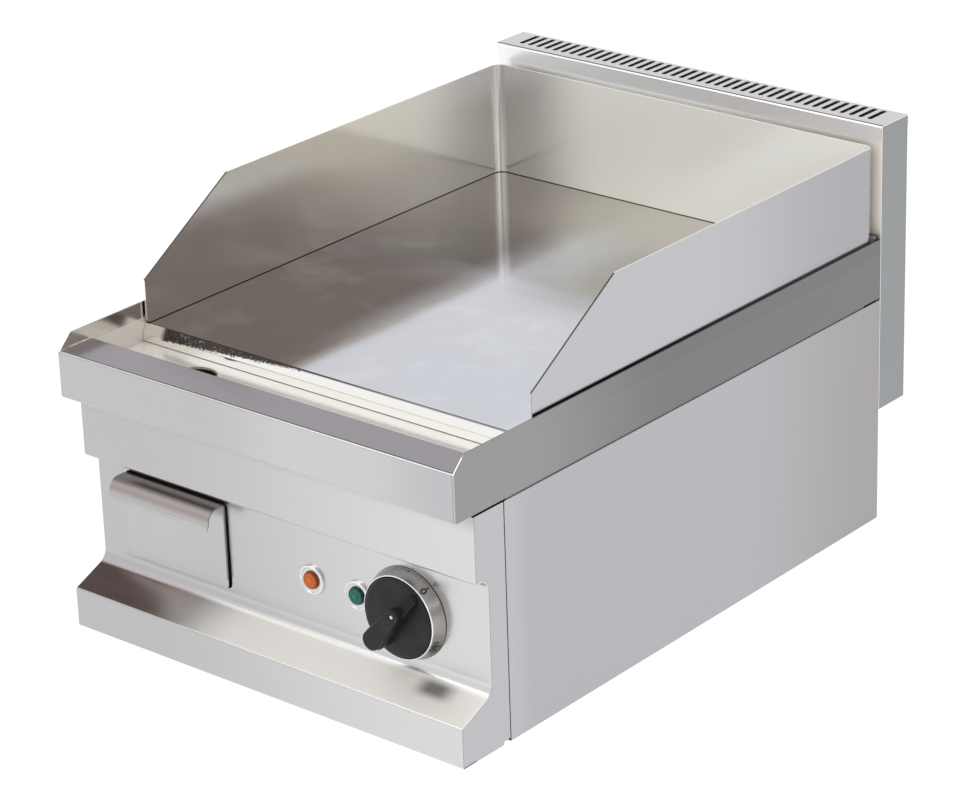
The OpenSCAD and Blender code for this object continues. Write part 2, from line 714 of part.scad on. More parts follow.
// Hairpin element: two legs under the plate, with tails that turn down through the shield
module hairpin(x) {
    leg = leg_pitch / 2;
    y0 = element_y0 + leg;
    y1 = element_y1 - element_bend_r;
    translate([x, y0, tube_z]) rotate([0, 0, 180]) rotate_extrude(angle = 180)
        translate([leg, 0]) circle(r = tube_r, $fn = 32);
    for (s = [-1, 1]) {
        rod_y(x + s * leg, y0, y1, tube_z, tube_r, $fn = 32);
        translate([x + s * leg, y1, tube_z - element_bend_r]) rotate([0, -90, 0])
            rotate_extrude(angle = 90) translate([element_bend_r, 0]) circle(r = tube_r, $fn = 32);
        rod_z(x + s * leg, y1 + element_bend_r, tail_z, tube_z - element_bend_r, tube_r, $fn = 32);
    }
}

module heating_element_left() placed() color([0.30, 0.29, 0.28]) hairpin(element_x[0]);
module heating_element_middle() placed() color([0.30, 0.29, 0.28]) hairpin(element_x[1]);
module heating_element_right() placed() color([0.30, 0.29, 0.28]) hairpin(element_x[2]);

module element_clamp_bars() placed() color(ZINC) for (y = clamp_y) difference() {
    box([-hot_x + clamp_inset, y - clamp_w / 2, clamp_top - clamp_t],
        [hot_x - clamp_inset, y + clamp_w / 2, clamp_top]);
    for (x = element_x) rod_z(x, y, clamp_top - clamp_t - 1, clamp_top + 1, clamp_stud_r + screw_fit);
}

module plate_studs() placed() color(ZINC) for (x = element_x, y = clamp_y)
    rod_z(x, y, clamp_top - clamp_t - nut_h - 0.2, deck_z, clamp_stud_r);

module clamp_nuts() placed() color(ZINC) for (x = element_x, y = clamp_y)
    hex_z(x, y, clamp_top - clamp_t - nut_h, clamp_top - clamp_t, 5.8, clamp_stud_r + fit);

// Passages for the element tails and the two capillaries, used by the shield and the blanket
module hot_passages(z0, z1) {
    for (x = element_x, s = [-1, 1])
        rod_z(x + s * leg_pitch / 2, element_y1, z0, z1, tube_r + 1);
    rod_z(bulb_x[0], element_y0, z0, z1, capillary_r + 1);
    rod_z(bulb_x[1], element_y1, z0, z1, capillary_r + 1);
}

module insulation_blanket() placed() color([0.86, 0.84, 0.76]) difference() {
    inset = shield_t + 0.4;
    box([-hot_x + inset, hot_y0 + inset, shield_z + shield_t], [hot_x - inset, hot_y1 - inset, blanket_top]);
    hot_passages(shield_z, blanket_top + 1);
}

module heat_shield() placed() color(ZINC) difference() {
    union() {
        box([-hot_x, hot_y0, shield_z], [hot_x, hot_y1, deck_under]);
        box([-hot_x - 10, hot_y0 - 10, deck_under - shield_t], [hot_x + 10, hot_y1 + 10, deck_under]);
    }
    box([-hot_x + shield_t, hot_y0 + shield_t, shield_z + shield_t],
        [hot_x - shield_t, hot_y1 - shield_t, deck_under + 1]);
    hot_passages(shield_z - 1, shield_z + shield_t + 1);
}

// ---- Thermostats ----

module thermostat_body() placed() color([0.85, 0.84, 0.80]) difference() {
    union() {
        box([knob_x - thermostat_w / 2, panel_back, control_z - thermostat_h / 2],
            [knob_x + thermostat_w / 2, panel_back + thermostat_d, control_z + thermostat_h / 2]);
        rod_y(knob_x, panel_y - ring_base_t, panel_back + 1, control_z, shaft_r + 2.4);
        for (k = [-1, 0, 1]) box([knob_x + k * 14 - 3, panel_back + thermostat_d - 1, control_z - 16],
            [knob_x + k * 14 + 3, panel_back + thermostat_d + 7, control_z - 15.2]);
    }
    rod_y(knob_x, panel_y - ring_base_t - 1, shaft_end + 1, control_z, shaft_r + run);
    for (s = [-1, 1])
        rod_y(knob_x + s * thermostat_screw_x, panel_back - 1, panel_back + 9, control_z, m4_r + fit);
}

// Turned shaft with a flat where the knob's grub screw seats
module thermostat_shaft() placed() color(ZINC) difference() {
    rod_y(knob_x, shaft_tip, shaft_end, control_z, shaft_r);
    translate([knob_x, 0, control_z]) rotate([0, pilot_deg, 0])
        box([-shaft_r - 1, shaft_tip - 1, shaft_r - 0.6], [shaft_r + 1, knob_face + 9, shaft_r + 1]);
}

module bulb_with_capillary(x, path) {
    rod_y(x, bulb_y, bulb_y + bulb_l, bulb_z, bulb_r, $fn = 32);
    lead(path, capillary_r);
}

capillary_z = control_z + thermostat_h / 2;
capillary_drop = panel_back + thermostat_d - 8;

module thermostat_bulb() placed() color([0.72, 0.45, 0.25]) bulb_with_capillary(bulb_x[0], [
    [bulb_x[0], bulb_y, bulb_z], [bulb_x[0], element_y0, bulb_z], [bulb_x[0], element_y0, tail_z],
    [knob_x, capillary_drop, capillary_z + 30], [knob_x, capillary_drop, capillary_z]]);

module safety_bulb() placed() color([0.72, 0.45, 0.25]) bulb_with_capillary(bulb_x[1], [
    [bulb_x[1], bulb_y + bulb_l, bulb_z], [bulb_x[1], element_y1, bulb_z],
    [bulb_x[1], element_y1, tail_z - 20],
    [reset_x, rear_in - limiter_d / 2, rear_fit_z + limiter_h / 2 + 40],
    [reset_x, rear_in - limiter_d / 2, rear_fit_z + limiter_h / 2]]);

module thermostat_screws() placed() color(ZINC) for (s = [-1, 1]) {
    x = knob_x + s * thermostat_screw_x;
    face = panel_y - ring_base_t;
    rod_y(x, face - m4_head_h, face, control_z, m4_head_r);
    rod_y(x, face, panel_back + 8, control_z, m4_r);
}

reset_end = rear_face + reset_neck_l;   // open end of the neck
reset_bore_end = rear_in - 10;
reset_inner = reset_bore_end + reset_travel + 1;

module safety_thermostat() placed() color([0.86, 0.85, 0.82]) difference() {
    union() {
        box([reset_x - limiter_w / 2, rear_in - limiter_d, rear_fit_z - limiter_h / 2],
            [reset_x + limiter_w / 2, rear_in, rear_fit_z + limiter_h / 2]);
        rod_y(reset_x, rear_in - 1, reset_end, rear_fit_z, reset_neck_r);
    }
    rod_y(reset_x, reset_bore_end, reset_end + 1, rear_fit_z, reset_r + slide_fit);
}

module reset_button() placed() color([0.75, 0.08, 0.06])
    rod_y(reset_x, reset_inner, reset_end + reset_proud, rear_fit_z, reset_r);

module reset_nut() placed() color(ZINC)
    hex_y(reset_x, rear_face, rear_face + 3, rear_fit_z, reset_neck_r + 4, reset_neck_r + fit);

// ---- Knob and dial ----

module turned_y(x, z) translate([x, 0, z]) rotate([-90, 0, 0]) rotate_extrude($fn = 96) children();

// Cup with a conical face that carries the scale; its base lies on the panel under the screws
module dial_ring() placed() color([0.70, 0.69, 0.67]) difference() {
    turned_y(knob_x, control_z) polygon([
        [shaft_r + 2.6, panel_y], [ring_r - ring_dip - 1.2, panel_y], [ring_r, panel_y - ring_relief],
        [ring_r, panel_y - ring_relief - 0.9],
        [ring_in_r + ring_wall, ring_face + 0.3], [ring_in_r + ring_wall - 0.3, ring_face],
        [ring_in_r, ring_face], [ring_in_r, panel_y - ring_base_t], [shaft_r + 2.6, panel_y - ring_base_t]]);
    for (s = [-1, 1])
        rod_y(knob_x + s * thermostat_screw_x, ring_face, panel_y + 1, control_z, m4_r + screw_fit);
}

grip_r = skirt_r - 1.4;
grip_step = 4;          // how much lower the pilot wedge starts than the grip's top
tail_r = grip_w * 0.58;
body_r = grip_w * 0.66; // root of the grip at its tail
plateau_r = grip_w * 0.4;
pilot_tip_r = grip_w * 0.3;
plateau_z = grip_r * 0.42; // how far the grip's top reaches towards the pilot
screw_along = grip_r * 0.39;

// Outline of two circles at heights z0 and z1, of radii r0 and r1, with their outer tangents
module capsule(z0, r0, z1, r1) {
    tilt = asin((r0 - r1) / (z1 - z0));
    translate([0, z0]) circle(r0);
    translate([0, z1]) circle(r1);
    polygon([for (k = [[1, z0, r0], [1, z1, r1], [-1, z1, r1], [-1, z0, r0]])
        [k[0] * k[2] * cos(tilt), k[1] + k[2] * sin(tilt)]]);
}

// The grip is drawn with its length along Z and then turned to the pilot angle
module knob_grip() {
    along_y(knob_tip, grip_h + 1) capsule(body_r - grip_r, tail_r, plateau_z, plateau_r);
    intersection() {
        along_y(knob_tip + grip_step, grip_h + 1 - grip_step)
            capsule(body_r - grip_r, body_r, grip_r - pilot_tip_r, pilot_tip_r);
        along_x(-grip_w, 2 * grip_w) polygon([
            [knob_face + 1, -grip_r - 1], [knob_tip + grip_step, -grip_r - 1],
            [knob_tip + grip_step, plateau_z], [knob_face - 1.5, grip_r], [knob_face + 1, grip_r]]);
    }
}

knob_wall = 2.4;

module knob() placed() color([0.09, 0.09, 0.10]) difference() {
    union() {
        turned_y(knob_x, control_z) polygon([
            [0, knob_face], [skirt_r - 3, knob_edge], [skirt_r - 0.8, knob_edge + 0.5],
            [skirt_r, knob_edge + 1.6], [skirt_r, knob_rear], [skirt_r - knob_wall, knob_rear],
            [skirt_r - knob_wall, knob_edge + knob_wall + 1], [hub_r, knob_face + knob_wall + 1],
            [hub_r, hub_end], [0, hub_end]]);
        translate([knob_x, 0, control_z]) rotate([0, pilot_deg, 0]) knob_grip();
    }
    rod_y(knob_x, shaft_tip - 0.5, hub_end + 1, control_z, shaft_r + fit);
    translate([knob_x, 0, control_z]) rotate([0, pilot_deg, 0])
        rod_y(0, knob_tip - 1, knob_tip + 1.2, screw_along, 1.7);
}

// Small cap screw set into the top of the grip
module knob_screw() placed() color(ZINC)
    translate([knob_x, 0, control_z]) rotate([0, pilot_deg, 0])
        rod_y(0, knob_tip + 0.3, knob_tip + 1.2, screw_along, 1.5);

// ---- Lamps ----

module lamp_lens(x) turned_y(x, control_z) polygon(concat(
    [[0, panel_y - 0.8], [lens_r, panel_y - 0.8], [lens_r, panel_y - lens_h + 0.9]],
    [for (a = [0 : 15 : 75]) [lens_r - 1.4 + 1.4 * cos(a), panel_y - lens_h + 0.9 - 0.9 * sin(a)]],
    [[lens_r * 0.55, panel_y - lens_h], [lens_r * 0.5, panel_y - lens_h + 0.5],
     [lens_r * 0.42, panel_y - lens_h + 0.5], [lens_r * 0.36, panel_y - lens_h - 0.3],
     [0, panel_y - lens_h - 0.6]]));

module lamp_bezel(x) turned_y(x, control_z) polygon(concat(
    [[lens_r + fit, panel_y], [bezel_r, panel_y]],
    [for (a = [0 : 15 : 90]) [bezel_r - 1.2 + 1.2 * cos(a), panel_y - bezel_h + 1.2 - 1.2 * sin(a)]],
    [[lens_r + 0.5, panel_y - bezel_h], [lens_r + fit, panel_y - bezel_h + 0.4]]));

module lamp_body(x) {
    y1 = panel_back + lamp_l;
    rod_y(x, panel_y - 0.8, y1, control_z, barrel_r);
    for (s = [-1, 1]) box([x + s * 2.6 - 0.4, y1, control_z - 2.4], [x + s * 2.6 + 0.4, y1 + 7, control_z + 2.4]);
}

module lamp_nut(x) hex_y(x, panel_back, panel_back + 5, control_z, barrel_r + 4, barrel_r + fit);

module orange_lamp_lens() placed() color([0.95, 0.42, 0.05]) lamp_lens(orange_x);
module orange_lamp_bezel() placed() color([0.92, 0.92, 0.92]) lamp_bezel(orange_x);
module orange_lamp_body() placed() color([0.90, 0.90, 0.88]) lamp_body(orange_x);
module orange_lamp_nut() placed() color([0.15, 0.15, 0.15]) lamp_nut(orange_x);
module green_lamp_lens() placed() color([0.05, 0.50, 0.42]) lamp_lens(green_x);
module green_lamp_bezel() placed() color([0.92, 0.92, 0.92]) lamp_bezel(green_x);
module green_lamp_body() placed() color([0.90, 0.90, 0.88]) lamp_body(green_x);
module green_lamp_nut() placed() color([0.15, 0.15, 0.15]) lamp_nut(green_x);

// ---- Supply ----

module terminal_block() placed() color([0.93, 0.92, 0.86]) difference() {
    box([block_x - block_w / 2, block_y, pan_top], [block_x + block_w / 2, block_y + block_d, pan_top + block_h]);
    for (k = [-2 : 2]) rod_z(block_x + k * terminal_pitch, block_y + block_d / 2, pan_top + 9, pan_top + block_h + 1, 3);
}

// Three leads from the gland to the terminal block
module supply_leads() placed() color([0.25, 0.22, 0.20]) for (k = [-1, 0, 1]) lead([
    [gland_x, rear_in - gland_in - seat_gap, rear_fit_z + k * lead_pitch],
    [gland_x, rear_in - gland_in - 11, rear_fit_z + k * lead_pitch],
    [block_x + k * terminal_pitch, block_y + block_d - 5, pan_top + block_h + 9 + k],
    [block_x + k * terminal_pitch, block_y + block_d - 5, pan_top + block_h]], lead_r);

control_lead_x = drawer_x + tray_w / 2 + runner_gap + 24;
tab_z = control_z - 16;
tab_y = panel_back + thermostat_d + 3;

// Two leads from the terminal block to the thermostat's tabs
module control_leads() placed() color([0.70, 0.12, 0.10]) for (k = [0, 1]) {
    x = control_lead_x + k * tab_lead_pitch;
    lead([
        [block_x + (1 + k) * terminal_pitch, block_y + 5, pan_top + block_h],
        [block_x + (1 + k) * terminal_pitch, block_y + 5, pan_top + block_h + 8],
        [x, block_y - 25, pan_top + 4],
        [x, tab_y + 60, pan_top + 4],
        [knob_x + k * 14, tab_y, pan_top + 14],
        [knob_x + k * 14, tab_y, tab_z]], lead_r);
}

module cable_gland() placed() color([0.20, 0.20, 0.21]) difference() {
    union() {
        rod_y(gland_x, rear_in - gland_in, rear_face + gland_out + gland_cap_l - 4, rear_fit_z, gland_r);
        translate([gland_x, rear_face, rear_fit_z]) rotate([-90, 0, 0])
            cylinder(r = gland_r + 4.5, h = gland_out, $fn = 6);
    }
    rod_y(gland_x, rear_in - gland_in - 1, rear_face + gland_out + gland_cap_l, rear_fit_z, gland_bore_r);
}

module gland_cap() placed() color([0.20, 0.20, 0.21]) difference() {
    y0 = rear_face + gland_out;
    turned_y(gland_x, rear_fit_z) polygon([
        [gland_r + fit, y0], [gland_r + 4, y0], [gland_r + 4, y0 + gland_cap_l - 5],
        [gland_bore_r + 2.4, y0 + gland_cap_l], [gland_bore_r + 0.7, y0 + gland_cap_l],
        [gland_bore_r + 0.7, y0 + gland_cap_l - 4 + fit], [gland_r + fit, y0 + gland_cap_l - 4 + fit]]);
}

module gland_locknut() placed() color([0.20, 0.20, 0.21])
    hex_y(gland_x, rear_in - 5, rear_in, rear_fit_z, gland_r + 4, gland_r + fit);

// Equipotential bonding stud: head inside, collar through the panel and its nut, free end behind
module bonding_stud() placed() color([0.78, 0.66, 0.32]) {
    collar_end = rear_face + nut_h + 1;
    rod_y(stud_x, rear_in - 4, rear_in, rear_fit_z, stud_r + 3.5);
    rod_y(stud_x, rear_in, collar_end, rear_fit_z, stud_boss_r);
    rod_y(stud_x, collar_end, collar_end + stud_l, rear_fit_z, stud_r);
}

module bonding_nut() placed() color([0.78, 0.66, 0.32])
    hex_y(stud_x, rear_face, rear_face + nut_h, rear_fit_z, stud_boss_r + 3, stud_boss_r + fit);

// ---- Feet and fasteners ----

module rubber_feet() placed() color([0.08, 0.08, 0.08]) both_sides() for (y = foot_y)
    translate([foot_x, y, 0]) difference() {
        rotate_extrude() polygon([
            [0, -foot_h], [foot_r - 1.6, -foot_h], [foot_r - 0.5, 0.5 - foot_h], [foot_r, 1.6 - foot_h],
            [foot_r - 1.5, pan_z], [0, pan_z]]);
        translate([0, 0, -foot_h - 1]) cylinder(r = foot_screw_r + 3.5, h = foot_recess + 1);
        cylinder(r = foot_screw_r + screw_fit, h = 2 * foot_h, center = true);
    }

module foot_screws() placed() color(ZINC) both_sides() for (y = foot_y) {
    rod_z(foot_x, y, foot_recess - 2.5 - foot_h, foot_recess - foot_h, foot_screw_r + 2.5);
    rod_z(foot_x, y, foot_recess - foot_h, pan_top + 6, foot_screw_r);
    hex_z(foot_x, y, pan_top, pan_top + 4, 4.6, foot_screw_r);
}

// A screw along Y with its head towards the back and its nut towards the front
module screw_y(x, y_nut, y_head, z) {
    rod_y(x, y_head, y_head + m4_head_h, z, m4_head_r);
    rod_y(x, y_nut - m4_nut_h - 1, y_head, z, m4_r);
    hex_y(x, y_nut - m4_nut_h, y_nut, z, m4_nut_r, m4_r);
}

module casing_screws() placed() color(ZINC) both_sides() {
    for (z = chimney_screw_z) screw_y(chimney_screw_x, rear_in, chimney_y + sheet_t, z);
    for (z = flange_screw_z) screw_y(flange_screw_x, rear_in, body_back, z);
    rod_y(rim_screw_x, rim_back - 2, rim_back, rim_screw_z, m4_head_r);
    rod_y(rim_screw_x, rim_back, chimney_y + sheet_t + m4_nut_h + 1, rim_screw_z, m4_r);
    hex_y(rim_screw_x, chimney_y + sheet_t, chimney_y + sheet_t + m4_nut_h, rim_screw_z, m4_nut_r, m4_r);
    for (y = rail_screw_y) {
        rod_z(rail_screw_x, y, side_h - sheet_t - m4_head_h, side_h - sheet_t, m4_head_r);
        rod_z(rail_screw_x, y, side_h - sheet_t, side_h + top_t + m4_nut_h + 1, m4_r);
        hex_z(rail_screw_x, y, side_h + top_t, side_h + top_t + m4_nut_h, m4_nut_r, m4_r);
    }
    for (y = pan_screw_y) {
        rod_z(pan_screw_x, y, -m4_head_h, 0, m4_head_r);
        rod_z(pan_screw_x, y, 0, pan_top + m4_nut_h + 1, m4_r);
        hex_z(pan_screw_x, y, pan_top, pan_top + m4_nut_h, m4_nut_r, m4_r);
    }
}

front_panel();
left_cheek();
right_cheek();
left_side_panel();
right_side_panel();
rear_panel();
base_pan();
left_support_rail();
right_support_rail();
worktop();
griddle_plate();
splash_guard();
guard_studs();
guard_stud_nuts();
chimney_shell();
chimney_back();
chimney_left_end();
chimney_right_end();
drain_spout();
heating_element_left();
heating_element_middle();
heating_element_right();
element_clamp_bars();
plate_studs();
clamp_nuts();
insulation_blanket();
heat_shield();
thermostat_body();
thermostat_shaft();
thermostat_bulb();
thermostat_screws();
safety_thermostat();
safety_bulb();
reset_button();
reset_nut();
dial_ring();
knob();
knob_screw();
orange_lamp_lens();
orange_lamp_bezel();
orange_lamp_body();
orange_lamp_nut();
green_lamp_lens();
green_lamp_bezel();
green_lamp_body();
green_lamp_nut();
drawer_front();
drawer_tray();
drawer_runners();
terminal_block();
supply_leads();
control_leads();
cable_gland();
gland_cap();
gland_locknut();
bonding_stud();
bonding_nut();
rubber_feet();
foot_screws();
casing_screws();
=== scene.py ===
"""Finishes and modelled pieces of a counter-top griddle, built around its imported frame.

Lengths inside the classes are millimetres in body coordinates: X to the right, Y from the face of the base lip
towards the back, Z up from the underside of the body. Datum turns them into the frame's metres. Finishes work on
the frame's metres, so the limits of their shades are metres too.
"""

import json
import logging
import math
import random
from dataclasses import dataclass
from enum import Enum
from functools import partialmethod
from typing import Any, Callable, Iterable, Sequence

import bmesh
import bpy
from mathutils import Matrix, Vector

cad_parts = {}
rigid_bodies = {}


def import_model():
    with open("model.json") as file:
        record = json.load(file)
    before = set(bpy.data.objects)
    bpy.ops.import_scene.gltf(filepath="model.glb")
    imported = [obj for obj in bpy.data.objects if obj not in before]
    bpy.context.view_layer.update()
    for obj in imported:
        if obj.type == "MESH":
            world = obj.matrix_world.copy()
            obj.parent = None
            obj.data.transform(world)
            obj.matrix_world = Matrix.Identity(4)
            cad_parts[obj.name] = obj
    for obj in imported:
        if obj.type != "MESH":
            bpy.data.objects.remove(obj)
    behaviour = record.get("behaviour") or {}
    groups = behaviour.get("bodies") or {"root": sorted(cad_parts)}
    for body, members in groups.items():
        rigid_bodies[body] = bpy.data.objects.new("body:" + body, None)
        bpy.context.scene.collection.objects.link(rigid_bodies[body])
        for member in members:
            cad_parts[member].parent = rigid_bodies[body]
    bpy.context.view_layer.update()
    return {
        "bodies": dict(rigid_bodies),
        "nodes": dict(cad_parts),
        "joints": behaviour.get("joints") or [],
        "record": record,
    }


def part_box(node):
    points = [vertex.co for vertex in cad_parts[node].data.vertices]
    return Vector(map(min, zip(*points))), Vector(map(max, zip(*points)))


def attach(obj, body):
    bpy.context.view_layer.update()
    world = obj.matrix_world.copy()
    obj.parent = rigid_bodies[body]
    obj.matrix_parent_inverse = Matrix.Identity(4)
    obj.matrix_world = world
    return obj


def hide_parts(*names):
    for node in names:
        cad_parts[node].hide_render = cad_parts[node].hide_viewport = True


LOG = logging.getLogger("griddle")
MM = 0.001
SHARP = math.radians(28)

# Sizes that several pieces share
HALF_W = 200.0
SHEET_T = 1.2
TOP_T = 1.5
PANEL_Y = 35.0
CONTROL_Z = 92.0
DECK_Z = 215.5
PLATE_TOP = 230.0
RIM_BACK = 540.0
DRAWER_X, ORANGE_X, GREEN_X, KNOB_X = -115.0, 26.0, 71.9, 121.6

Point = tuple[float, float]
Colour = tuple[float, float, float]
Triple = tuple[float, float, float]
Mesh = bmesh.types.BMesh


# ---------------------------------------------------------------- shader language


class Value:
    """A node output that takes part in Python arithmetic."""

    def __init__(self, tree: "Nodes", socket: bpy.types.NodeSocket) -> None:
        """Keeps the tree that the socket belongs to."""
        self.tree = tree
        self.socket = socket

    def _math(self, kind: str, *others: Any) -> "Value":
        """Adds one Math node.

        Args:
            kind: the node's operation.
            others: operands after this one, in order.

        Returns:
            The node's output.
        """
        return self.tree.add("ShaderNodeMath", {"operation": kind}, dict(enumerate((self, *others))))

    __add__ = __radd__ = partialmethod(_math, "ADD")
    __sub__ = partialmethod(_math, "SUBTRACT")
    __mul__ = __rmul__ = partialmethod(_math, "MULTIPLY")
    __truediv__ = partialmethod(_math, "DIVIDE")
    __pow__ = partialmethod(_math, "POWER")
    least = partialmethod(_math, "MINIMUM")
    most = partialmethod(_math, "MAXIMUM")

    def __rsub__(self, other: Any) -> "Value":
        """Difference with the operands the other way round."""
        return self.tree.add("ShaderNodeMath", {"operation": "SUBTRACT"}, {0: other, 1: self})

    def sway(self, amount: float) -> "Value":
        """Deviation from the middle of a noise, scaled."""
        return (self - 0.5) * amount

    def between(self, low: float, high: float) -> "Value":
        """Smooth step from 0 at low to 1 at high.

        Args:
            low: input that gives 0.
            high: input that gives 1; it may be the smaller one.

        Returns:
            The stepped value.
        """
        if low > high:
            return 1.0 - self.between(high, low)
        return self.tree.add("ShaderNodeMapRange", {"interpolation_type": "SMOOTHSTEP", "clamp": True},
                             {"Value": self, "From Min": low, "From Max": high, "To Min": 0.0, "To Max": 1.0})


class Nodes:
    """Node tree of one material or world, filled by expressions."""

    def __init__(self, owner: bpy.types.ID) -> None:
        """Starts from an empty tree of the material or world."""
        owner.use_nodes = True
        self.tree = owner.node_tree
        self.tree.nodes.clear()

    def add(self, kind: str, settings: dict | None = None, inputs: dict | None = None,
            out: int | str = 0) -> Value | None:
        """Adds any node.

        Args:
            kind: the node's type name.
            settings: properties set first.
            inputs: sockets by name or number, each a Value, a number, a colour or a vector.
            out: name or number of the output that is wanted.

        Returns:
            That output, or None where the node has no outputs.
        """
        node = self.tree.nodes.new(kind)
        for name, value in (settings or {}).items():
            setattr(node, name, value)
        for name, value in (inputs or {}).items():
            self.plug(node.inputs[name], value)
        return Value(self, node.outputs[out]) if len(node.outputs) else None

    def plug(self, socket: bpy.types.NodeSocket, value: Any) -> None:
        """Links a Value to a socket, or sets the socket's own value."""
        if isinstance(value, Value):
            self.tree.links.new(value.socket, socket)
        elif isinstance(value, (tuple, list, Vector)) and socket.type == "RGBA":
            socket.default_value = (*value[:3], 1.0)
        else:
            socket.default_value = value

    def place(self) -> Value:
        """Object coordinates, in metres of the frame."""
        return self.add("ShaderNodeTexCoord", out="Object")

    def axes(self, vector: Value | None = None) -> tuple[Value, Value, Value]:
        """The three parts of a vector, by default of the object coordinates."""
        node = self.add("ShaderNodeSeparateXYZ", inputs={0: vector or self.place()}).socket.node
        return tuple(Value(self, node.outputs[k]) for k in range(3))

    def from_axis(self, axis: Point) -> Value:
        """Distance from an axis along Y, given by its X and Z."""
        x, _, z = self.axes()
        return ((x - axis[0]) ** 2.0 + (z - axis[1]) ** 2.0) ** 0.5

    def noise(self, scale: float, detail: float, rough: float, stretch: Sequence[float] | None = None) -> Value:
        """Noise between 0 and 1.

        Args:
            scale: spots per metre.
            detail: octaves.
            rough: strength of the finer octaves.
            stretch: factors of the coordinates along X, Y and Z.

        Returns:
            The noise.
        """
        where = self.place()
        if stretch:
            where = self.add("ShaderNodeMapping", inputs={"Vector": where, "Scale": tuple(stretch)})
        return self.add("ShaderNodeTexNoise",
                        inputs={"Vector": where, "Scale": scale, "Detail": detail, "Roughness": rough}, out="Fac")

    def blend(self, factor: Any, first: Any, second: Any) -> Value:
        """Mixes two colours."""
        return self.add("ShaderNodeMix", {"data_type": "RGBA"}, {0: factor, 6: first, 7: second}, out=2)

    def bump(self, height: Value, depth: float, strength: float) -> Value:
        """A surface normal disturbed by a height.

        Args:
            height: height map between 0 and 1.
            depth: metres that 1 stands for.
            strength: share of the effect.

        Returns:
            The normal.
        """
        return self.add("ShaderNodeBump", inputs={"Height": height, "Distance": depth, "Strength": strength})


# ---------------------------------------------------------------- kinds of finish


class Grain(Enum):
    """Direction of the polishing lines, as stretch factors along X, Y and Z."""

    ALONG_X = (0.03, 1.0, 1.0)
    ALONG_Y = (1.0, 0.03, 1.0)
    ALONG_Z = (1.0, 1.0, 0.03)

    def scratches(self) -> list[float]:
        """Stretch factors of the shorter scratches."""
        return [12 * s if s < 1 else s for s in self.value]


@dataclass(frozen=True)
class Finish:
    """Base of every finish: a named material with one Principled shader."""

    name: str

    def make(self) -> bpy.types.Material:
        """Builds the material.

        Returns:
            The material, ready to assign.
        """
        material = bpy.data.materials.new(self.name)
        nodes = Nodes(material)
        shader = nodes.add("ShaderNodeBsdfPrincipled", out="BSDF")
        nodes.add("ShaderNodeOutputMaterial", inputs={"Surface": shader})
        for name, value in self.sockets(nodes).items():
            nodes.plug(shader.socket.node.inputs[name], value)
        return material

    def sockets(self, nodes: Nodes) -> dict[str, Any]:
        """Values and links of the shader's sockets."""
        raise NotImplementedError


@dataclass(frozen=True)
class Shade:
    """A soft-edged tone over part of a surface, between limits along the frame's axes. Every one in this script
    paints light, shade or a reflection onto the surface.

    A span of two numbers steps from 0 to 1. Four numbers step up between the first two and down again between
    the last two. Rough adds to the roughness, and matt is the share that scatters light like a blasted surface.
    """

    colour: Colour
    x: tuple[float, ...] | None = None
    y: tuple[float, ...] | None = None
    z: tuple[float, ...] | None = None
    share: float = 1.0
    rough: float = 0.0
    matt: float = 0.0

    def mask(self, nodes: Nodes) -> Value:
        """Share of the tone at each point.

        Args:
            nodes: the material's tree.

        Returns:
            The share, between 0 and 1.
        """
        mask: Any = self.share
        for value, span in zip(nodes.axes(), (self.x, self.y, self.z)):
            if span is not None:
                mask = value.between(*span[:2]) * mask
                if len(span) == 4:
                    mask = mask * value.between(span[3], span[2])
        return mask


@dataclass(frozen=True)
class Steel(Finish):
    """Stainless sheet with fine polishing lines, cloudy gloss and a few scratches, plus painted light and shade from
    its shades.
    """

    tint: Colour = (0.62, 0.62, 0.63)
    rough: float = 0.24
    grain: Grain = Grain.ALONG_X
    warm: Colour = (0.62, 0.60, 0.56)
    warm_share: float = 0.25
    lines: float = 0.06
    cloud: float = 0.06
    streaks: float = 0.04
    relief: float = 1.5e-6
    scratched: Colour = (0.2, 0.2, 0.2)
    scratch_share: float = 0.07
    shades: tuple[Shade, ...] = ()

    def sockets(self, nodes: Nodes) -> dict[str, Any]:
        """Adds the lines, the clouds and the shades' painted light and shade."""
        fine = nodes.noise(2600, 3, 0.6, self.grain.value)
        broad = nodes.noise(9, 3, 0.55)
        veil = nodes.noise(160, 2, 0.5, self.grain.value)
        scratch = nodes.noise(900, 1, 0.3, self.grain.scratches())
        colour = nodes.blend(broad.between(0.4, 0.75) * self.warm_share, self.tint, self.warm)
        rough = self.rough + fine.sway(self.lines) + broad.sway(self.cloud) + veil.sway(self.streaks)
        metal: Any = 1.0
        for shade in self.shades:
            mask = shade.mask(nodes)
            colour = nodes.blend(mask, colour, shade.colour)
            if shade.rough:
                rough = rough + mask * shade.rough
            if shade.matt:
                metal = metal - mask * shade.matt
        return {
            "Base Color": nodes.blend(scratch.between(0.71, 0.76) * self.scratch_share, colour, self.scratched),
            "Metallic": metal,
            "Roughness": rough.most(0.05),
            "Normal": nodes.bump(fine * 0.6 + veil * 0.4, self.relief, 0.35),
        }


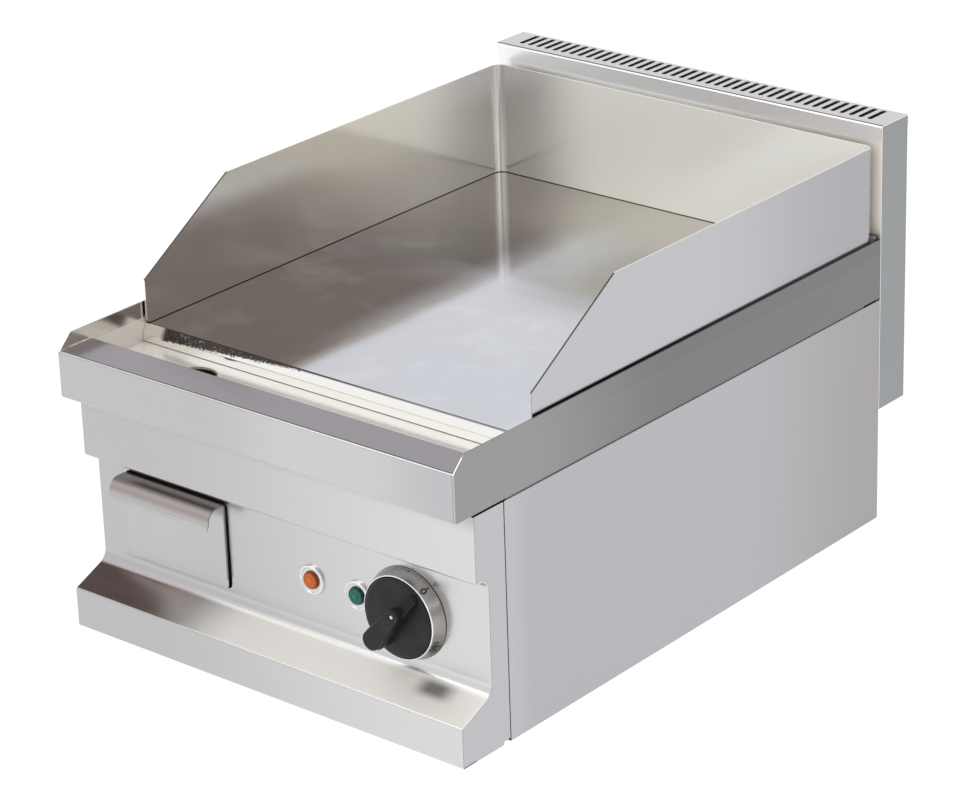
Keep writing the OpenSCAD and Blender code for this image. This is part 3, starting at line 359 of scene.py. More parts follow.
@dataclass(frozen=True)
class GroundPlate(Finish):
    """Cooking surface: ground to a polish, with painted shade on its left, painted reflections towards its rear, a
    front painted bright whose bevel is worn dark, and a painted shadow line at the front's foot.

    Front is the Y and Z of the upper front edge before its bevel, and bevel its depth and height.
    """

    front: Point
    bevel: Point
    tint: Colour = (0.63, 0.645, 0.70)
    dull: Colour = (0.60, 0.585, 0.57)
    pale: Colour = (0.74, 0.76, 0.82)
    # Painted dark reflection of the left guard, over the left half
    shadow: Colour = (0.19, 0.165, 0.16)
    # Painted warm reflection at the right rear and in the far part of the painted shade
    warm: Colour = (0.44, 0.42, 0.40)
    # Painted highlight towards the back
    glow: Colour = (0.62, 0.595, 0.555)
    # Painted light: the front face and most of the bevel painted bright
    bright: Colour = (0.97, 0.96, 0.93)
    # Colour of the bevel's scorched wear, also used for the painted shadow line at the front's foot
    burnt_and_shade: Colour = (0.06, 0.05, 0.045)
    rough: float = 0.085
    # Limits of the painted shade over the left half, sharper at the front and softer at the back
    far_y: Point = (-0.20, -0.06)
    shade_near_x: Point = (-0.030, -0.050)
    shade_far_x: Point = (-0.025, -0.075)
    worn_x: float = -0.135
    worn_fall: float = 0.056
    # Heights of the painted shadow line at the front's foot, under the plate's top
    foot_z: Point = (-0.0138, -0.0142)

    def upper_face(self, nodes: Nodes, x: Value, y: Value, cloud: Value) -> Value:
        """Colour of the upper face: clouds, painted shade over the left half, a painted warm reflection at the right
        rear, and a painted highlight towards the back.

        Args:
            nodes: the material's tree.
            x: place across the plate.
            y: place along the plate.
            cloud: noise of the clouds.

        Returns:
            The colour.
        """
        broad = nodes.noise(7, 3, 0.5)
        colour = nodes.blend(broad.between(0.3, 0.8) * 0.3, self.tint, self.dull)
        colour = nodes.blend(cloud.between(0.46, 0.66) * 0.4, colour, self.pale)
        # Painted warm reflection at the right rear
        colour = nodes.blend(y.between(-0.03, 0.08) * x.between(-0.03, 0.06), colour, self.warm)
        # Painted shade over the left half, with a sharper edge near the front
        far = y.between(*self.far_y)
        shaded = x.between(*self.shade_near_x) * (1.0 - far) + x.between(*self.shade_far_x) * far
        deep = nodes.blend(y.between(0.02, 0.22), self.shadow, self.warm)
        colour = nodes.blend(shaded * (0.6 + cloud * 0.8).least(1.0), colour, deep)
        # Painted highlight towards the back
        return nodes.blend(y.between(0.12, 0.21) * x.between(-0.15, -0.04), colour, self.glow)

    def wear(self, nodes: Nodes, x: Value, depth: Value, height: Value) -> Value:
        """Wear of the bevel, which reaches further down towards the left, and the dark line along its top.

        Args:
            nodes: the material's tree.
            x: place across the plate.
            depth: distance behind the plate's front.
            height: height over the upper face.

        Returns:
            Share of the burnt colour.
        """
        spots = nodes.noise(700, 5, 0.75, (0.6, 1.0, 1.0))
        flecks = nodes.noise(1500, 3, 0.7, (0.25, 1.0, 1.0))
        deep, high = self.bevel
        line = depth.between(deep + 0.0011, deep + 0.0007) * height.between(-0.0014, -0.0004)
        level = height + high - (x - self.worn_x) * self.worn_fall + spots.sway(0.008)
        worn = level.between(-0.0004, 0.0008) * (1.0 - flecks.between(0.60, 0.68) * 0.7)
        worn = worn * depth.between(deep + 0.001, deep + 0.0004)
        return line.most(worn) * x.between(-0.181, -0.174) * x.between(0.30, -0.06).most(0.75)

    def sockets(self, nodes: Nodes) -> dict[str, Any]:
        """Adds grinding lines along X, clouds, the front painted bright with its worn bevel, and a painted shadow
        line at the front's foot.
        """
        x, y, z = nodes.axes()
        depth, height = y - self.front[0], z - self.front[1]
        fine = nodes.noise(2200, 3, 0.6, (0.05, 1.0, 1.0))
        cloud = nodes.noise(22, 4, 0.6)
        dark = self.wear(nodes, x, depth, height)
        # Painted light: the front face and most of the bevel painted bright
        painted_bright_front = depth.between(self.bevel[0] + 0.0004, self.bevel[0] - 0.0002)
        # Painted shadow line where the front meets the gutter floor
        foot = height.between(*self.foot_z) * depth.between(0.001, 0.0005)
        colour = nodes.blend(painted_bright_front, self.upper_face(nodes, x, y, cloud), self.bright)
        colour = nodes.blend(dark, colour, self.burnt_and_shade)
        return {
            "Base Color": nodes.blend(foot, colour, self.burnt_and_shade),
            "Metallic": 1.0,
            "Roughness": (self.rough + fine.sway(0.03) + cloud.sway(0.04) + dark * 0.2).most(0.05),
            "Normal": nodes.bump(fine, 1.2e-6, 0.4),
        }


@dataclass(frozen=True)
class Mottled(Finish):
    """Two tones mixed by a broad noise, under a fine one. The defaults are a spark-eroded plastic moulding.

    Each noise is given by its spots per metre, octaves and strength of the finer octaves. Span is the part of the
    broad one that goes from tint to light, None for all of it. Sways are how much the broad and the fine noise
    change the roughness, and relief is the depth of the fine one.
    """

    tint: Colour = (0.009, 0.009, 0.010)
    light: Colour = (0.020, 0.022, 0.026)
    rough: float = 0.38
    broad: Triple = (45.0, 3.0, 0.6)
    fine: Triple = (1500.0, 2.0, 0.6)
    span: Point | None = (0.35, 0.8)
    sways: Point = (0.16, 0.06)
    metallic: float = 0.0
    specular: float = 0.25
    coat: float = 0.0
    relief: float = 2.5e-5
    strength: float = 0.35

    def sockets(self, nodes: Nodes) -> dict[str, Any]:
        """Adds the tones, the sheen changes and the grain."""
        broad, fine = nodes.noise(*self.broad), nodes.noise(*self.fine)
        return {
            "Base Color": nodes.blend(broad.between(*self.span) if self.span else broad, self.tint, self.light),
            "Metallic": self.metallic,
            "Roughness": self.rough + broad.sway(self.sways[0]) + fine.sway(self.sways[1]),
            "Specular IOR Level": self.specular,
            "Coat Weight": self.coat,
            "Coat Roughness": 0.12,
            "Normal": nodes.bump(fine, self.relief, self.strength),
        }


@dataclass(frozen=True)
class Tube(Mottled):
    """Drawn tube or element sheath, with bands of heat colour along it."""

    tint: Colour = (0.16, 0.14, 0.13)
    light: Colour = (0.30, 0.22, 0.17)
    rough: float = 0.42
    broad: Triple = (26.0, 3.0, 0.6)
    fine: Triple = (1200.0, 2.0, 0.5)
    span: Point | None = (0.35, 0.7)
    sways: Point = (0.2, 0.0)
    metallic: float = 0.85
    specular: float = 0.5
    relief: float = 1e-5
    strength: float = 0.4


@dataclass(frozen=True)
class Zinc(Finish):
    """Zinc-plated sheet or fastener: satin grey with a faint spangle."""

    tint: Colour = (0.52, 0.54, 0.56)
    stain: Colour = (0.42, 0.40, 0.34)
    rough: float = 0.36

    def sockets(self, nodes: Nodes) -> dict[str, Any]:
        """Adds the spangle as cells of slightly different tone."""
        cells = nodes.add("ShaderNodeTexVoronoi", {"feature": "F1"}, {"Vector": nodes.place(), "Scale": 180.0},
                          out="Color")
        tone = nodes.axes(cells)[0]
        haze = nodes.noise(40, 3, 0.6)
        colour = nodes.blend(tone * 0.5, self.tint, tuple(min(1.0, 1.25 * c) for c in self.tint))
        return {
            "Base Color": nodes.blend(haze.between(0.4, 0.8) * 0.35, colour, self.stain),
            "Metallic": 0.9,
            "Roughness": self.rough + tone.sway(0.12),
            "Normal": nodes.bump(haze, 2e-5, 0.3),
        }


@dataclass(frozen=True)
class LampLens(Finish):
    """Translucent coloured plastic, deeper in tone towards its rim."""

    tint: Colour
    deep: Colour
    axis: Point
    radius: float

    def sockets(self, nodes: Nodes) -> dict[str, Any]:
        """Shades the lens by its distance from the axis."""
        out = nodes.from_axis(self.axis) / self.radius
        grit = nodes.noise(900, 2, 0.5)
        colour = nodes.blend(out.between(0.55, 1.0) + grit.sway(0.2), self.tint, self.deep)
        return {
            "Base Color": colour,
            "Roughness": 0.16 + grit.sway(0.08),
            "Specular IOR Level": 0.3,
            "Coat Weight": 0.15,
            "Coat Roughness": 0.05,
            "Emission Color": colour,
            "Emission Strength": 0.02,
        }


@dataclass(frozen=True)
class Spun(Finish):
    """Turned metal whose fine lines run round an axis parallel to Y, with a band of another tone."""

    tint: Colour
    axis: Point
    band: tuple[float, float, Colour]
    rough: float = 0.28

    def sockets(self, nodes: Nodes) -> dict[str, Any]:
        """Draws the turning lines and the band from the distance to the axis."""
        out = nodes.from_axis(self.axis)
        rings = nodes.add("ShaderNodeTexNoise", {"noise_dimensions": "1D"},
                          {"W": out + nodes.axes()[1] * 0.7, "Scale": 5200.0, "Detail": 2.0}, out="Fac")
        haze = nodes.noise(70, 3, 0.6)
        inner, outer, tone = self.band
        banded = out.between(inner - 0.0001, inner) * out.between(outer + 0.0001, outer)
        return {
            "Base Color": nodes.blend(
                banded, nodes.blend(haze * 0.5, self.tint, tuple(0.86 * c for c in self.tint)), tone),
            "Metallic": 1.0,
            "Roughness": self.rough + rings.sway(0.16) + haze.sway(0.06),
            "Normal": nodes.bump(rings, 6e-6, 0.5),
        }


@dataclass(frozen=True)
class Felt(Finish):
    """Ceramic fibre blanket."""

    def sockets(self, nodes: Nodes) -> dict[str, Any]:
        """Tangles short fibres over a pale base."""
        fibre = nodes.noise(420, 6, 0.75)
        lumps = nodes.noise(60, 3, 0.6)
        return {
            "Base Color": nodes.blend(fibre, (0.78, 0.75, 0.66), (0.92, 0.91, 0.86)),
            "Roughness": 0.95,
            "Normal": nodes.bump(fibre * 0.6 + lumps, 8e-4, 0.7),
        }


# ---------------------------------------------------------------- workshop


@dataclass(frozen=True)
class Datum:
    """Place of the body's coordinates in the frame."""

    front: float
    floor: float

    @classmethod
    def from_frame(cls) -> "Datum":
        """Reads the datum off the front panel, whose base lip starts both coordinates."""
        low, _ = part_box("front_panel")
        return cls(low.y, low.z)

    def matrix(self) -> Matrix:
        """Matrix from body millimetres to frame metres."""
        return Matrix.Translation((0, self.front, self.floor)) @ Matrix.Scale(MM, 4)

    def spot(self, x: float, y: float, z: float) -> Vector:
        """One point in frame metres."""
        return self.matrix() @ Vector((x, y, z))

    def axis(self, x: float, z: float) -> Point:
        """X and Z in frame metres of an axis along Y."""
        place = self.spot(x, 0, z)
        return place.x, place.z


class Axis(Enum):
    """Direction in which an outline is pulled, with how its two coordinates lie in space."""

    X, Y, Z = range(3)

    def place(self, along: float, u: float, v: float) -> Vector:
        """Point at a distance along the axis: (u, v) are (y, z), (x, z) or (x, y)."""
        parts = [u, v]
        parts.insert(self.value, along)
        return Vector(parts)


def as_object(name: str, data: bpy.types.ID) -> bpy.types.Object:
    """Object of some data, linked to the scene."""
    obj = bpy.data.objects.new(name, data)
    bpy.context.scene.collection.objects.link(obj)
    return obj


def as_mesh(name: str, bm: Mesh) -> bpy.types.Mesh:
    """Mesh data of a mesh under construction, which is freed."""
    mesh = bpy.data.meshes.new(name)
    bm.to_mesh(mesh)
    bm.free()
    return mesh


def rounded(points: Sequence[Point], radii: Sequence[float], steps: int = 10) -> list[Point]:
    """Rounds the corners of a run of points.

    Args:
        points: the corners.
        radii: a radius for each, 0 for none.
        steps: pieces of each arc.

    Returns:
        The run with its corners replaced by arcs.
    """
    run: list[Point] = []
    for k, (corner, radius) in enumerate(zip(points, radii)):
        if radius <= 0:
            run.append(corner)
            continue
        here, before, after = Vector(corner), Vector(points[k - 1]), Vector(points[k + 1])
        a, b = (before - here).normalized(), (after - here).normalized()
        half = a.angle(b) / 2
        centre = here + (a + b).normalized() * radius / math.sin(half)
        start, end = here + a * radius / math.tan(half) - centre, here + b * radius / math.tan(half) - centre
        sweep = start.angle_signed(end)
        run += [tuple(centre + Matrix.Rotation(-sweep * i / steps, 2) @ start) for i in range(steps + 1)]
    return run


def arc(centre: Point, radius: float, start: float, end: float, steps: int = 8) -> list[Point]:
    """Points of an arc, angles in degrees."""
    angles = [math.radians(start + (end - start) * i / steps) for i in range(steps + 1)]
    return [(centre[0] + radius * math.cos(a), centre[1] + radius * math.sin(a)) for a in angles]


def rounded_rect(x0: float, y0: float, x1: float, y1: float, r: float, steps: int = 6) -> list[Point]:
    """Outline of a rectangle with round corners, anticlockwise."""
    corners = ((x1 - r, y0 + r), (x1 - r, y1 - r), (x0 + r, y1 - r), (x0 + r, y0 + r))
    return [point for k, corner in enumerate(corners) for point in arc(corner, r, 90 * k - 90, 90 * k, steps)]


def pull(bm: Mesh, grown: Iterable[Any], axis: Axis, length: float) -> None:
    """Moves the vertices of freshly extruded geometry along an axis."""
    ends = [g for g in grown if isinstance(g, bmesh.types.BMVert)]
    bmesh.ops.translate(bm, verts=ends, vec=axis.place(length, 0, 0))


def sheet(run: Sequence[Point], axis: Axis, start: float, end: float, thick: float) -> Mesh:
    """Folded sheet: a run of points pulled along an axis and given a thickness.

    Args:
        run: outer line of the section.
        axis: direction of the pull.
        start: first place along the axis.
        end: last place along the axis.
        thick: thickness, positive away from the side that the first normals face.

    Returns:
        The closed mesh.
    """
    bm = bmesh.new()
    verts = [bm.verts.new(axis.place(start, u, v)) for u, v in run]
    edges = [bm.edges.new(pair) for pair in zip(verts, verts[1:])]
    pull(bm, bmesh.ops.extrude_edge_only(bm, edges=edges)["geom"], axis, end - start)
    return thicken(bm, thick)


def thicken(bm: Mesh, thick: float) -> Mesh:
    """Gives an open mesh a thickness."""
    bm.normal_update()
    bmesh.ops.solidify(bm, geom=bm.faces[:], thickness=thick)
    return outward(bm)


def slab(outline: Sequence[Point], axis: Axis, start: float, end: float) -> Mesh:
    """Solid with a flat outline pulled along an axis.

    Args:
        outline: points of the closed outline.
        axis: direction of the pull.
        start: first place along the axis.
        end: last place along the axis.

    Returns:
        The closed mesh.
    """
    bm = bmesh.new()
    face = bm.faces.new([bm.verts.new(axis.place(start, u, v)) for u, v in outline])
    pull(bm, bmesh.ops.extrude_face_region(bm, geom=[face])["geom"], axis, end - start)
    return outward(bm)


def block(low: Sequence[float], high: Sequence[float]) -> Mesh:
    """Box between two corners.

    Args:
        low: its lowest X, Y and Z.
        high: its highest X, Y and Z.

    Returns:
        The closed mesh.
    """
    bm = bmesh.new()
    bmesh.ops.create_cube(bm, size=1.0)
    bmesh.ops.scale(bm, verts=bm.verts[:], vec=Vector(high) - Vector(low))
    bmesh.ops.translate(bm, verts=bm.verts[:], vec=(Vector(high) + Vector(low)) / 2)
    return bm


def rod(centre: Point, axis: Axis, start: float, end: float, radius: float, sides: int = 48) -> Mesh:
    """Round bar along an axis; centre gives its other two coordinates."""
    return slab(arc(centre, radius, 0, 360, sides)[:-1], axis, start, end)


def turned(profile: Sequence[Point], x: float, z: float, steps: int = 96) -> Mesh:
    """Turned solid round an axis along Y.

    Args:
        profile: points (radius, y) from axis to axis, or a closed run of a ring.
        x: place of the axis.
        z: place of the axis.
        steps: pieces of the full turn.

    Returns:
        The closed mesh.
    """
    bm = bmesh.new()
    verts = [bm.verts.new((r, y, 0)) for r, y in profile]
    pairs = list(zip(verts, verts[1:]))
    if profile[0][0] > 0:
        pairs.append((verts[-1], verts[0]))
    edges = [bm.edges.new(pair) for pair in pairs]
    bmesh.ops.spin(bm, geom=verts + edges, cent=(0, 0, 0), axis=(0, 1, 0), dvec=(0, 0, 0),
                   angle=2 * math.pi, steps=steps, use_merge=True)
    bmesh.ops.remove_doubles(bm, verts=bm.verts[:], dist=1e-4)
    outward(bm)
    bmesh.ops.translate(bm, verts=bm.verts[:], vec=(x, 0, z))
    return bm


def outward(bm: Mesh) -> Mesh:
    """Makes every face of a closed mesh point outwards, and returns the mesh."""
    bmesh.ops.recalc_face_normals(bm, faces=bm.faces[:])
    if bm.calc_volume(signed=True) < 0:
        bmesh.ops.reverse_faces(bm, faces=bm.faces[:])
    return bm


def middle(edge: bmesh.types.BMEdge) -> Vector:
    """Midpoint of an edge."""
    return (edge.verts[0].co + edge.verts[1].co) / 2


def at_sides(edge: bmesh.types.BMEdge) -> bool:
    """Whether an edge lies in the plane of a side of the body."""
    return abs(middle(edge).x) > HALF_W - 0.01


def soften(bm: Mesh, width: float, segments: int = 2, pick: Callable[..., bool] | None = None,
           angle: float = 50) -> Mesh:
    """Rounds the sharp edges of a mesh.

    Args:
        bm: the mesh, changed in place.
        width: width of the rounding.
        segments: pieces across it.
        pick: test that an edge has to pass, or None for all.
        angle: least angle between the faces, in degrees.

    Returns:
        The mesh.
    """
    edges = [e for e in bm.edges if len(e.link_faces) == 2 and e.calc_face_angle(0) > math.radians(angle)
             and (pick is None or pick(e))]
    bmesh.ops.bevel(bm, geom=edges, offset=width, offset_type="OFFSET", segments=segments, profile=0.5,
                    affect="EDGES", clamp_overlap=True, material=-1)
    return bm


def gather(*parts: Mesh) -> Mesh:
    """Joins meshes into one, loose from each other, and frees them."""
    whole = bmesh.new()
    for part in parts:
        loose = as_mesh("loose", part)
        whole.from_mesh(loose)
        bpy.data.meshes.remove(loose)
    return whole


def mirrored(bm: Mesh) -> Mesh:
    """Copy of a mesh on the other side of X = 0."""
    copy = bm.copy()
    bmesh.ops.scale(copy, verts=copy.verts[:], vec=(-1, 1, 1))
    bmesh.ops.reverse_faces(copy, faces=copy.faces[:])
    return copy


def carve(bm: Mesh, *tools: Mesh) -> Mesh:
    """Cuts closed meshes out of another one.

    Args:
        bm: the closed mesh, freed here.
        tools: closed meshes to cut out, freed here.

    Returns:
        The cut mesh.
    """
    target, cutter = [as_object("carve", as_mesh("carve", part)) for part in (bm, gather(*tools))]
    change = target.modifiers.new("cut", "BOOLEAN")
    change.operation = "DIFFERENCE"
    change.solver = "EXACT"
    change.object = cutter
    bpy.context.view_layer.update()
    shaped = bpy.data.meshes.new_from_object(target.evaluated_get(bpy.context.evaluated_depsgraph_get()))
    whole = bmesh.new()
    whole.from_mesh(shaped)
    for mesh in (target.data, cutter.data, shaped):
        bpy.data.meshes.remove(mesh)
    return whole


class Bench:
    """Turns meshes into the scene's pieces, and keeps the finishes."""

    def __init__(self, frame: dict) -> None:
        """Reads the datum and the record's slots."""
        self.frame = frame
        self.datum = Datum.from_frame()
        self.materials: dict[str, bpy.types.Material] = {}
        self.slots = {s["node"]: s["material_slot"] for s in frame["record"]["subparts"]}
        self.count = 0

    def finish(self, finish: Finish) -> bpy.types.Material:
        """The finish's material, made once."""
        if finish.name not in self.materials:
            self.materials[finish.name] = finish.make()
        return self.materials[finish.name]

    def piece(self, name: str, bm: Mesh, finish: Finish, node: str | None = None, slot: str | None = None,
              body: str = "casing") -> None:
        """Makes a finished piece of a mesh in body millimetres.

        Args:
            name: the piece's name.
            bm: its mesh, freed here.
            finish: its finish.
            node: CAD node that it stands for, if any.
            slot: not used.
            body: the CAD body that it rides on.
        """
        mesh = as_mesh(name, bm)
        obj = as_object(name, mesh)
        mesh.transform(self.datum.matrix())
        mesh.materials.append(self.finish(finish))
        mesh.polygons.foreach_set("use_smooth", [True] * len(mesh.polygons))
        mesh.set_sharp_from_angle(angle=SHARP)
        mesh.update()
        weighted = obj.modifiers.new("shading", "WEIGHTED_NORMAL")
        weighted.keep_sharp = True
        weighted.weight = 100
        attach(obj, body)
        if node:
            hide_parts(node)
        self.count += 1
        LOG.info("piece %s: %d faces on %s", name, len(mesh.polygons), body)

    def dress(self, finish: Finish, *names: str) -> None:
        """Gives CAD nodes that stay visible their finish."""
        for name in names:
            materials = self.frame["nodes"][name].data.materials
            materials.clear()
            materials.append(self.finish(finish))
            LOG.info("node %s: %s", name, finish.name)


# ---------------------------------------------------------------- finishes of this griddle


# Dark colour of the painted shadow lines in gaps, and colour of the painted highlights along edges
GAP_SHADE = (0.05, 0.045, 0.045)
EDGE_HIGHLIGHT = (0.98, 0.97, 0.95)

# Limits of the painted light and shade on the front panel's ledge, the worktop's front edge and right side, and the
# guard's inner faces
LEDGE_Y, LEDGE_Z = (-0.2896, -0.2890, -0.2560, -0.2552), (0.0450, 0.0456, 0.0590, 0.0600)
EDGE_Y, RIGHT_X, WALL_TOP_Z = (-0.2876, -0.2880), (0.1984, 0.1988), (0.2475, 0.2465)
GUARD_BACK_Y, GUARD_RIGHT_X = (0.2440, 0.2455), (0.1960, 0.1966)

# Front panel: painted light, lighter towards the right; a painted shadow on the fascia under the worktop's lip; the
# ledge painted bright cream, with a painted dark reflection on its left and a painted reflection of the knob
FRONT_STEEL = Steel(
    "front_steel", tint=(0.49, 0.49, 0.495), warm=(0.51, 0.505, 0.49),
    shades=(Shade((0.66, 0.66, 0.66), x=(-0.14, 0.20)),
            Shade((0.40, 0.40, 0.42), z=(0.192, 0.209), y=(-0.262, -0.266), share=0.7),
            Shade((0.98, 0.96, 0.91), y=LEDGE_Y, z=LEDGE_Z, x=(-0.13, -0.03), rough=0.2, matt=0.7),
            Shade((0.60, 0.51, 0.485), y=LEDGE_Y, z=LEDGE_Z, x=(-0.06, -0.14)),
            Shade((0.07, 0.055, 0.055), x=(0.132, 0.151, 0.160, 0.180), y=(-0.2790, -0.2690, -0.2650, -0.2560),
                  z=LEDGE_Z, share=0.85, matt=0.45)))
# Side panels and cheeks: painted shade, darker towards the back and lighter towards the front, and a painted shadow
# line in the gap between cheek and side panel
SIDE_STEEL = Steel(
    "side_steel", tint=(0.46, 0.455, 0.48), rough=0.34, grain=Grain.ALONG_Y, warm=(0.46, 0.46, 0.48),
    shades=(Shade((0.38, 0.365, 0.37), y=(0.05, 0.25)),
            Shade((0.51, 0.505, 0.53), y=(-0.20, -0.235)),
            Shade(GAP_SHADE, y=(-0.2348, -0.2346, -0.2337, -0.2335))))
# Worktop: painted light and shade. Everything below the walls' top is painted bright and partly matt for the lit
# gutter, darker towards the left wall; a painted highlight runs along the lip's bend; the left wall is painted
# lighter; the lip's front is painted lighter, lightest in the middle and darker at the right end; the right wall is
# painted dark, darker towards the back; and a painted highlight lies on the top edge of the right wall's chamfer
TOP_STEEL = Steel(
    "worktop_steel", tint=(0.315, 0.295, 0.325), rough=0.20, warm=(0.32, 0.31, 0.31),
    shades=(Shade((0.98, 0.96, 0.92), z=WALL_TOP_Z, matt=0.45),
            Shade((0.86, 0.83, 0.79), z=WALL_TOP_Z, x=(-0.145, -0.192), matt=0.35),
            Shade(EDGE_HIGHLIGHT, y=(-0.2858, -0.2868), z=(0.2450, 0.2460)),
            Shade((0.78, 0.75, 0.71), x=(-0.1965, -0.1972)),
            Shade((0.50, 0.50, 0.505), y=EDGE_Y),
            Shade((0.58, 0.58, 0.58), y=EDGE_Y, x=(-0.05, 0.05)),
            Shade((0.49, 0.50, 0.515), y=EDGE_Y, x=(0.11, 0.19)),
            Shade((0.30, 0.30, 0.30), x=RIGHT_X, y=EDGE_Y[::-1]),
            Shade((0.19, 0.19, 0.192), x=RIGHT_X, y=(-0.22, -0.02)),
            Shade(EDGE_HIGHLIGHT, x=(0.1980, 0.1984, 0.1995, 0.1998), y=(-0.2775, -0.2785), z=(0.2480, 0.2490), matt=0.3)))
# Splash guard: its tint is raised above plain steel to paint in the light it reflects. Painted light towards the
# back, brightest on the back guard away from its left corner, with a painted dark band near that corner; the right
# guard's outer face painted darker, darker towards the back; and a painted shadow line along the guard's foot on the
# plate
GUARD_STEEL = Steel(
    "guard_steel", tint=(0.935, 0.905, 0.865), rough=0.13, grain=Grain.ALONG_Z, warm=(0.86, 0.83, 0.77),
    shades=(Shade((0.95, 0.94, 0.92), y=(-0.10, 0.20), matt=0.2),
            Shade((0.99, 0.985, 0.915), y=GUARD_BACK_Y, x=(-0.192, -0.08), matt=0.6),
            Shade((0.52, 0.51, 0.48), y=GUARD_BACK_Y, x=(-0.193, -0.187, -0.165, -0.105), share=0.5),
            Shade((0.50, 0.505, 0.53), x=GUARD_RIGHT_X, rough=0.08),
            Shade((0.40, 0.395, 0.42), x=GUARD_RIGHT_X, y=(0.02, 0.22)),
            Shade(GAP_SHADE, z=(0.2427, 0.2425))))
# Chimney shell: its tint is raised to paint in the light it reflects; the front face is painted bright and partly
# matt, darker towards the right, and the top face is painted darker
CHIMNEY_STEEL = Steel(
    "chimney_steel", tint=(0.94, 0.95, 0.96), rough=0.25, warm=(0.88, 0.88, 0.87),
    shades=(Shade((0.95, 0.96, 0.97), z=(0.3560, 0.3540), matt=0.45),
            Shade((0.80, 0.76, 0.73), x=(-0.02, 0.19), z=(0.3560, 0.3540)),
            Shade((0.66, 0.66, 0.67), z=(0.3563, 0.3571))))
# The chimney's back and ends get a darker copy of its steel: painted shade
END_STEEL = Steel("chimney_end_steel", tint=(0.30, 0.315, 0.325), rough=0.3, grain=Grain.ALONG_Z,
                  warm=(0.28, 0.28, 0.28))
# Drawer front: the pull's upper part is painted a dark brown reflection, and the strip above it is painted dark as
# the shade in the gap under the fascia
DRAWER_STEEL = Steel(
    "drawer_steel", tint=(0.50, 0.50, 0.505),
    shades=(Shade((0.36, 0.32, 0.31), z=(0.1290, 0.1385), y=(-0.2580, -0.2590), rough=0.16),
            Shade((0.12, 0.09, 0.085), z=(0.1425, 0.1430), y=(-0.2592, -0.2588))))
# The drain spout is painted dark brown, as painted shade inside the drain hole
SPOUT_SHADE_STEEL = Steel("spout_shade_steel", tint=(0.10, 0.07, 0.06), rough=0.4, grain=Grain.ALONG_Z, warm=(0.12, 0.08, 0.06))
TRAY_STEEL = Steel("tray_steel", tint=(0.55, 0.55, 0.55), rough=0.34, grain=Grain.ALONG_Y)
ZINC_PART = Zinc("zinc_part_finish", tint=(0.58, 0.59, 0.61), rough=0.28)
BLACK = Mottled("black_plastic")
WELD = Mottled("weld_finish", tint=(0.66, 0.62, 0.55), light=(0.34, 0.24, 0.14), rough=0.32, broad=(260, 3, 0.6),
               fine=(1400, 2, 0.5), span=(0.35, 0.7), sways=(0.0, 0.2), metallic=1.0, specular=0.5, relief=6e-5,
               strength=0.6)
PRINT = Mottled("dial_print", tint=(0.012, 0.012, 0.013), light=(0.03, 0.03, 0.032), rough=0.45, broad=(2500, 2, 0.5),
                span=None, sways=(0.2, 0.0), specular=0.5, relief=0.0)

SLOT_FINISHES: dict[str, Finish] = {
    "brushed_front": FRONT_STEEL, "brushed_side": SIDE_STEEL, "brushed_guard": GUARD_STEEL,
    "brushed_chimney": CHIMNEY_STEEL, "brushed_drawer": DRAWER_STEEL, "polished_worktop": TOP_STEEL,
    "satin_steel": TRAY_STEEL, "zinc_fastener": ZINC_PART, "black_knob": BLACK,
    "zinc_sheet": Zinc("zinc_sheet_finish"),
    "element_sheath": Tube("element_finish"),
    "ceramic_blanket": Felt("ceramic_blanket_finish"),
    "ceramic_plastic": Mottled("ceramic_finish", tint=(0.80, 0.78, 0.70), light=(0.88, 0.86, 0.80), rough=0.55),
    "copper_tube": Tube("copper_finish", tint=(0.56, 0.28, 0.14), light=(0.66, 0.36, 0.20), rough=0.3),
    "brass": Tube("brass_finish", tint=(0.62, 0.46, 0.18), light=(0.72, 0.56, 0.26), rough=0.3),
    "red_plastic": Mottled("red_plastic_finish", tint=(0.55, 0.03, 0.02), light=(0.66, 0.05, 0.035), rough=0.25,
                           coat=0.3),
    "black_nylon": Mottled("black_nylon_finish", tint=(0.025, 0.025, 0.027), light=(0.05, 0.05, 0.055), rough=0.5),
    "lamp_housing": Mottled("lamp_housing_finish", tint=(0.80, 0.80, 0.78), light=(0.88, 0.88, 0.87), rough=0.45),
    "lead_insulation": Mottled("lead_finish", tint=(0.16, 0.10, 0.08), light=(0.24, 0.16, 0.13), rough=0.6,
                               fine=(900, 2, 0.6)),
    "foot_rubber": Mottled("foot_rubber_finish", tint=(0.02, 0.02, 0.02), light=(0.045, 0.045, 0.045), rough=0.75,
                           fine=(700, 2, 0.6), relief=6e-5),
}


# ---------------------------------------------------------------- the griddle


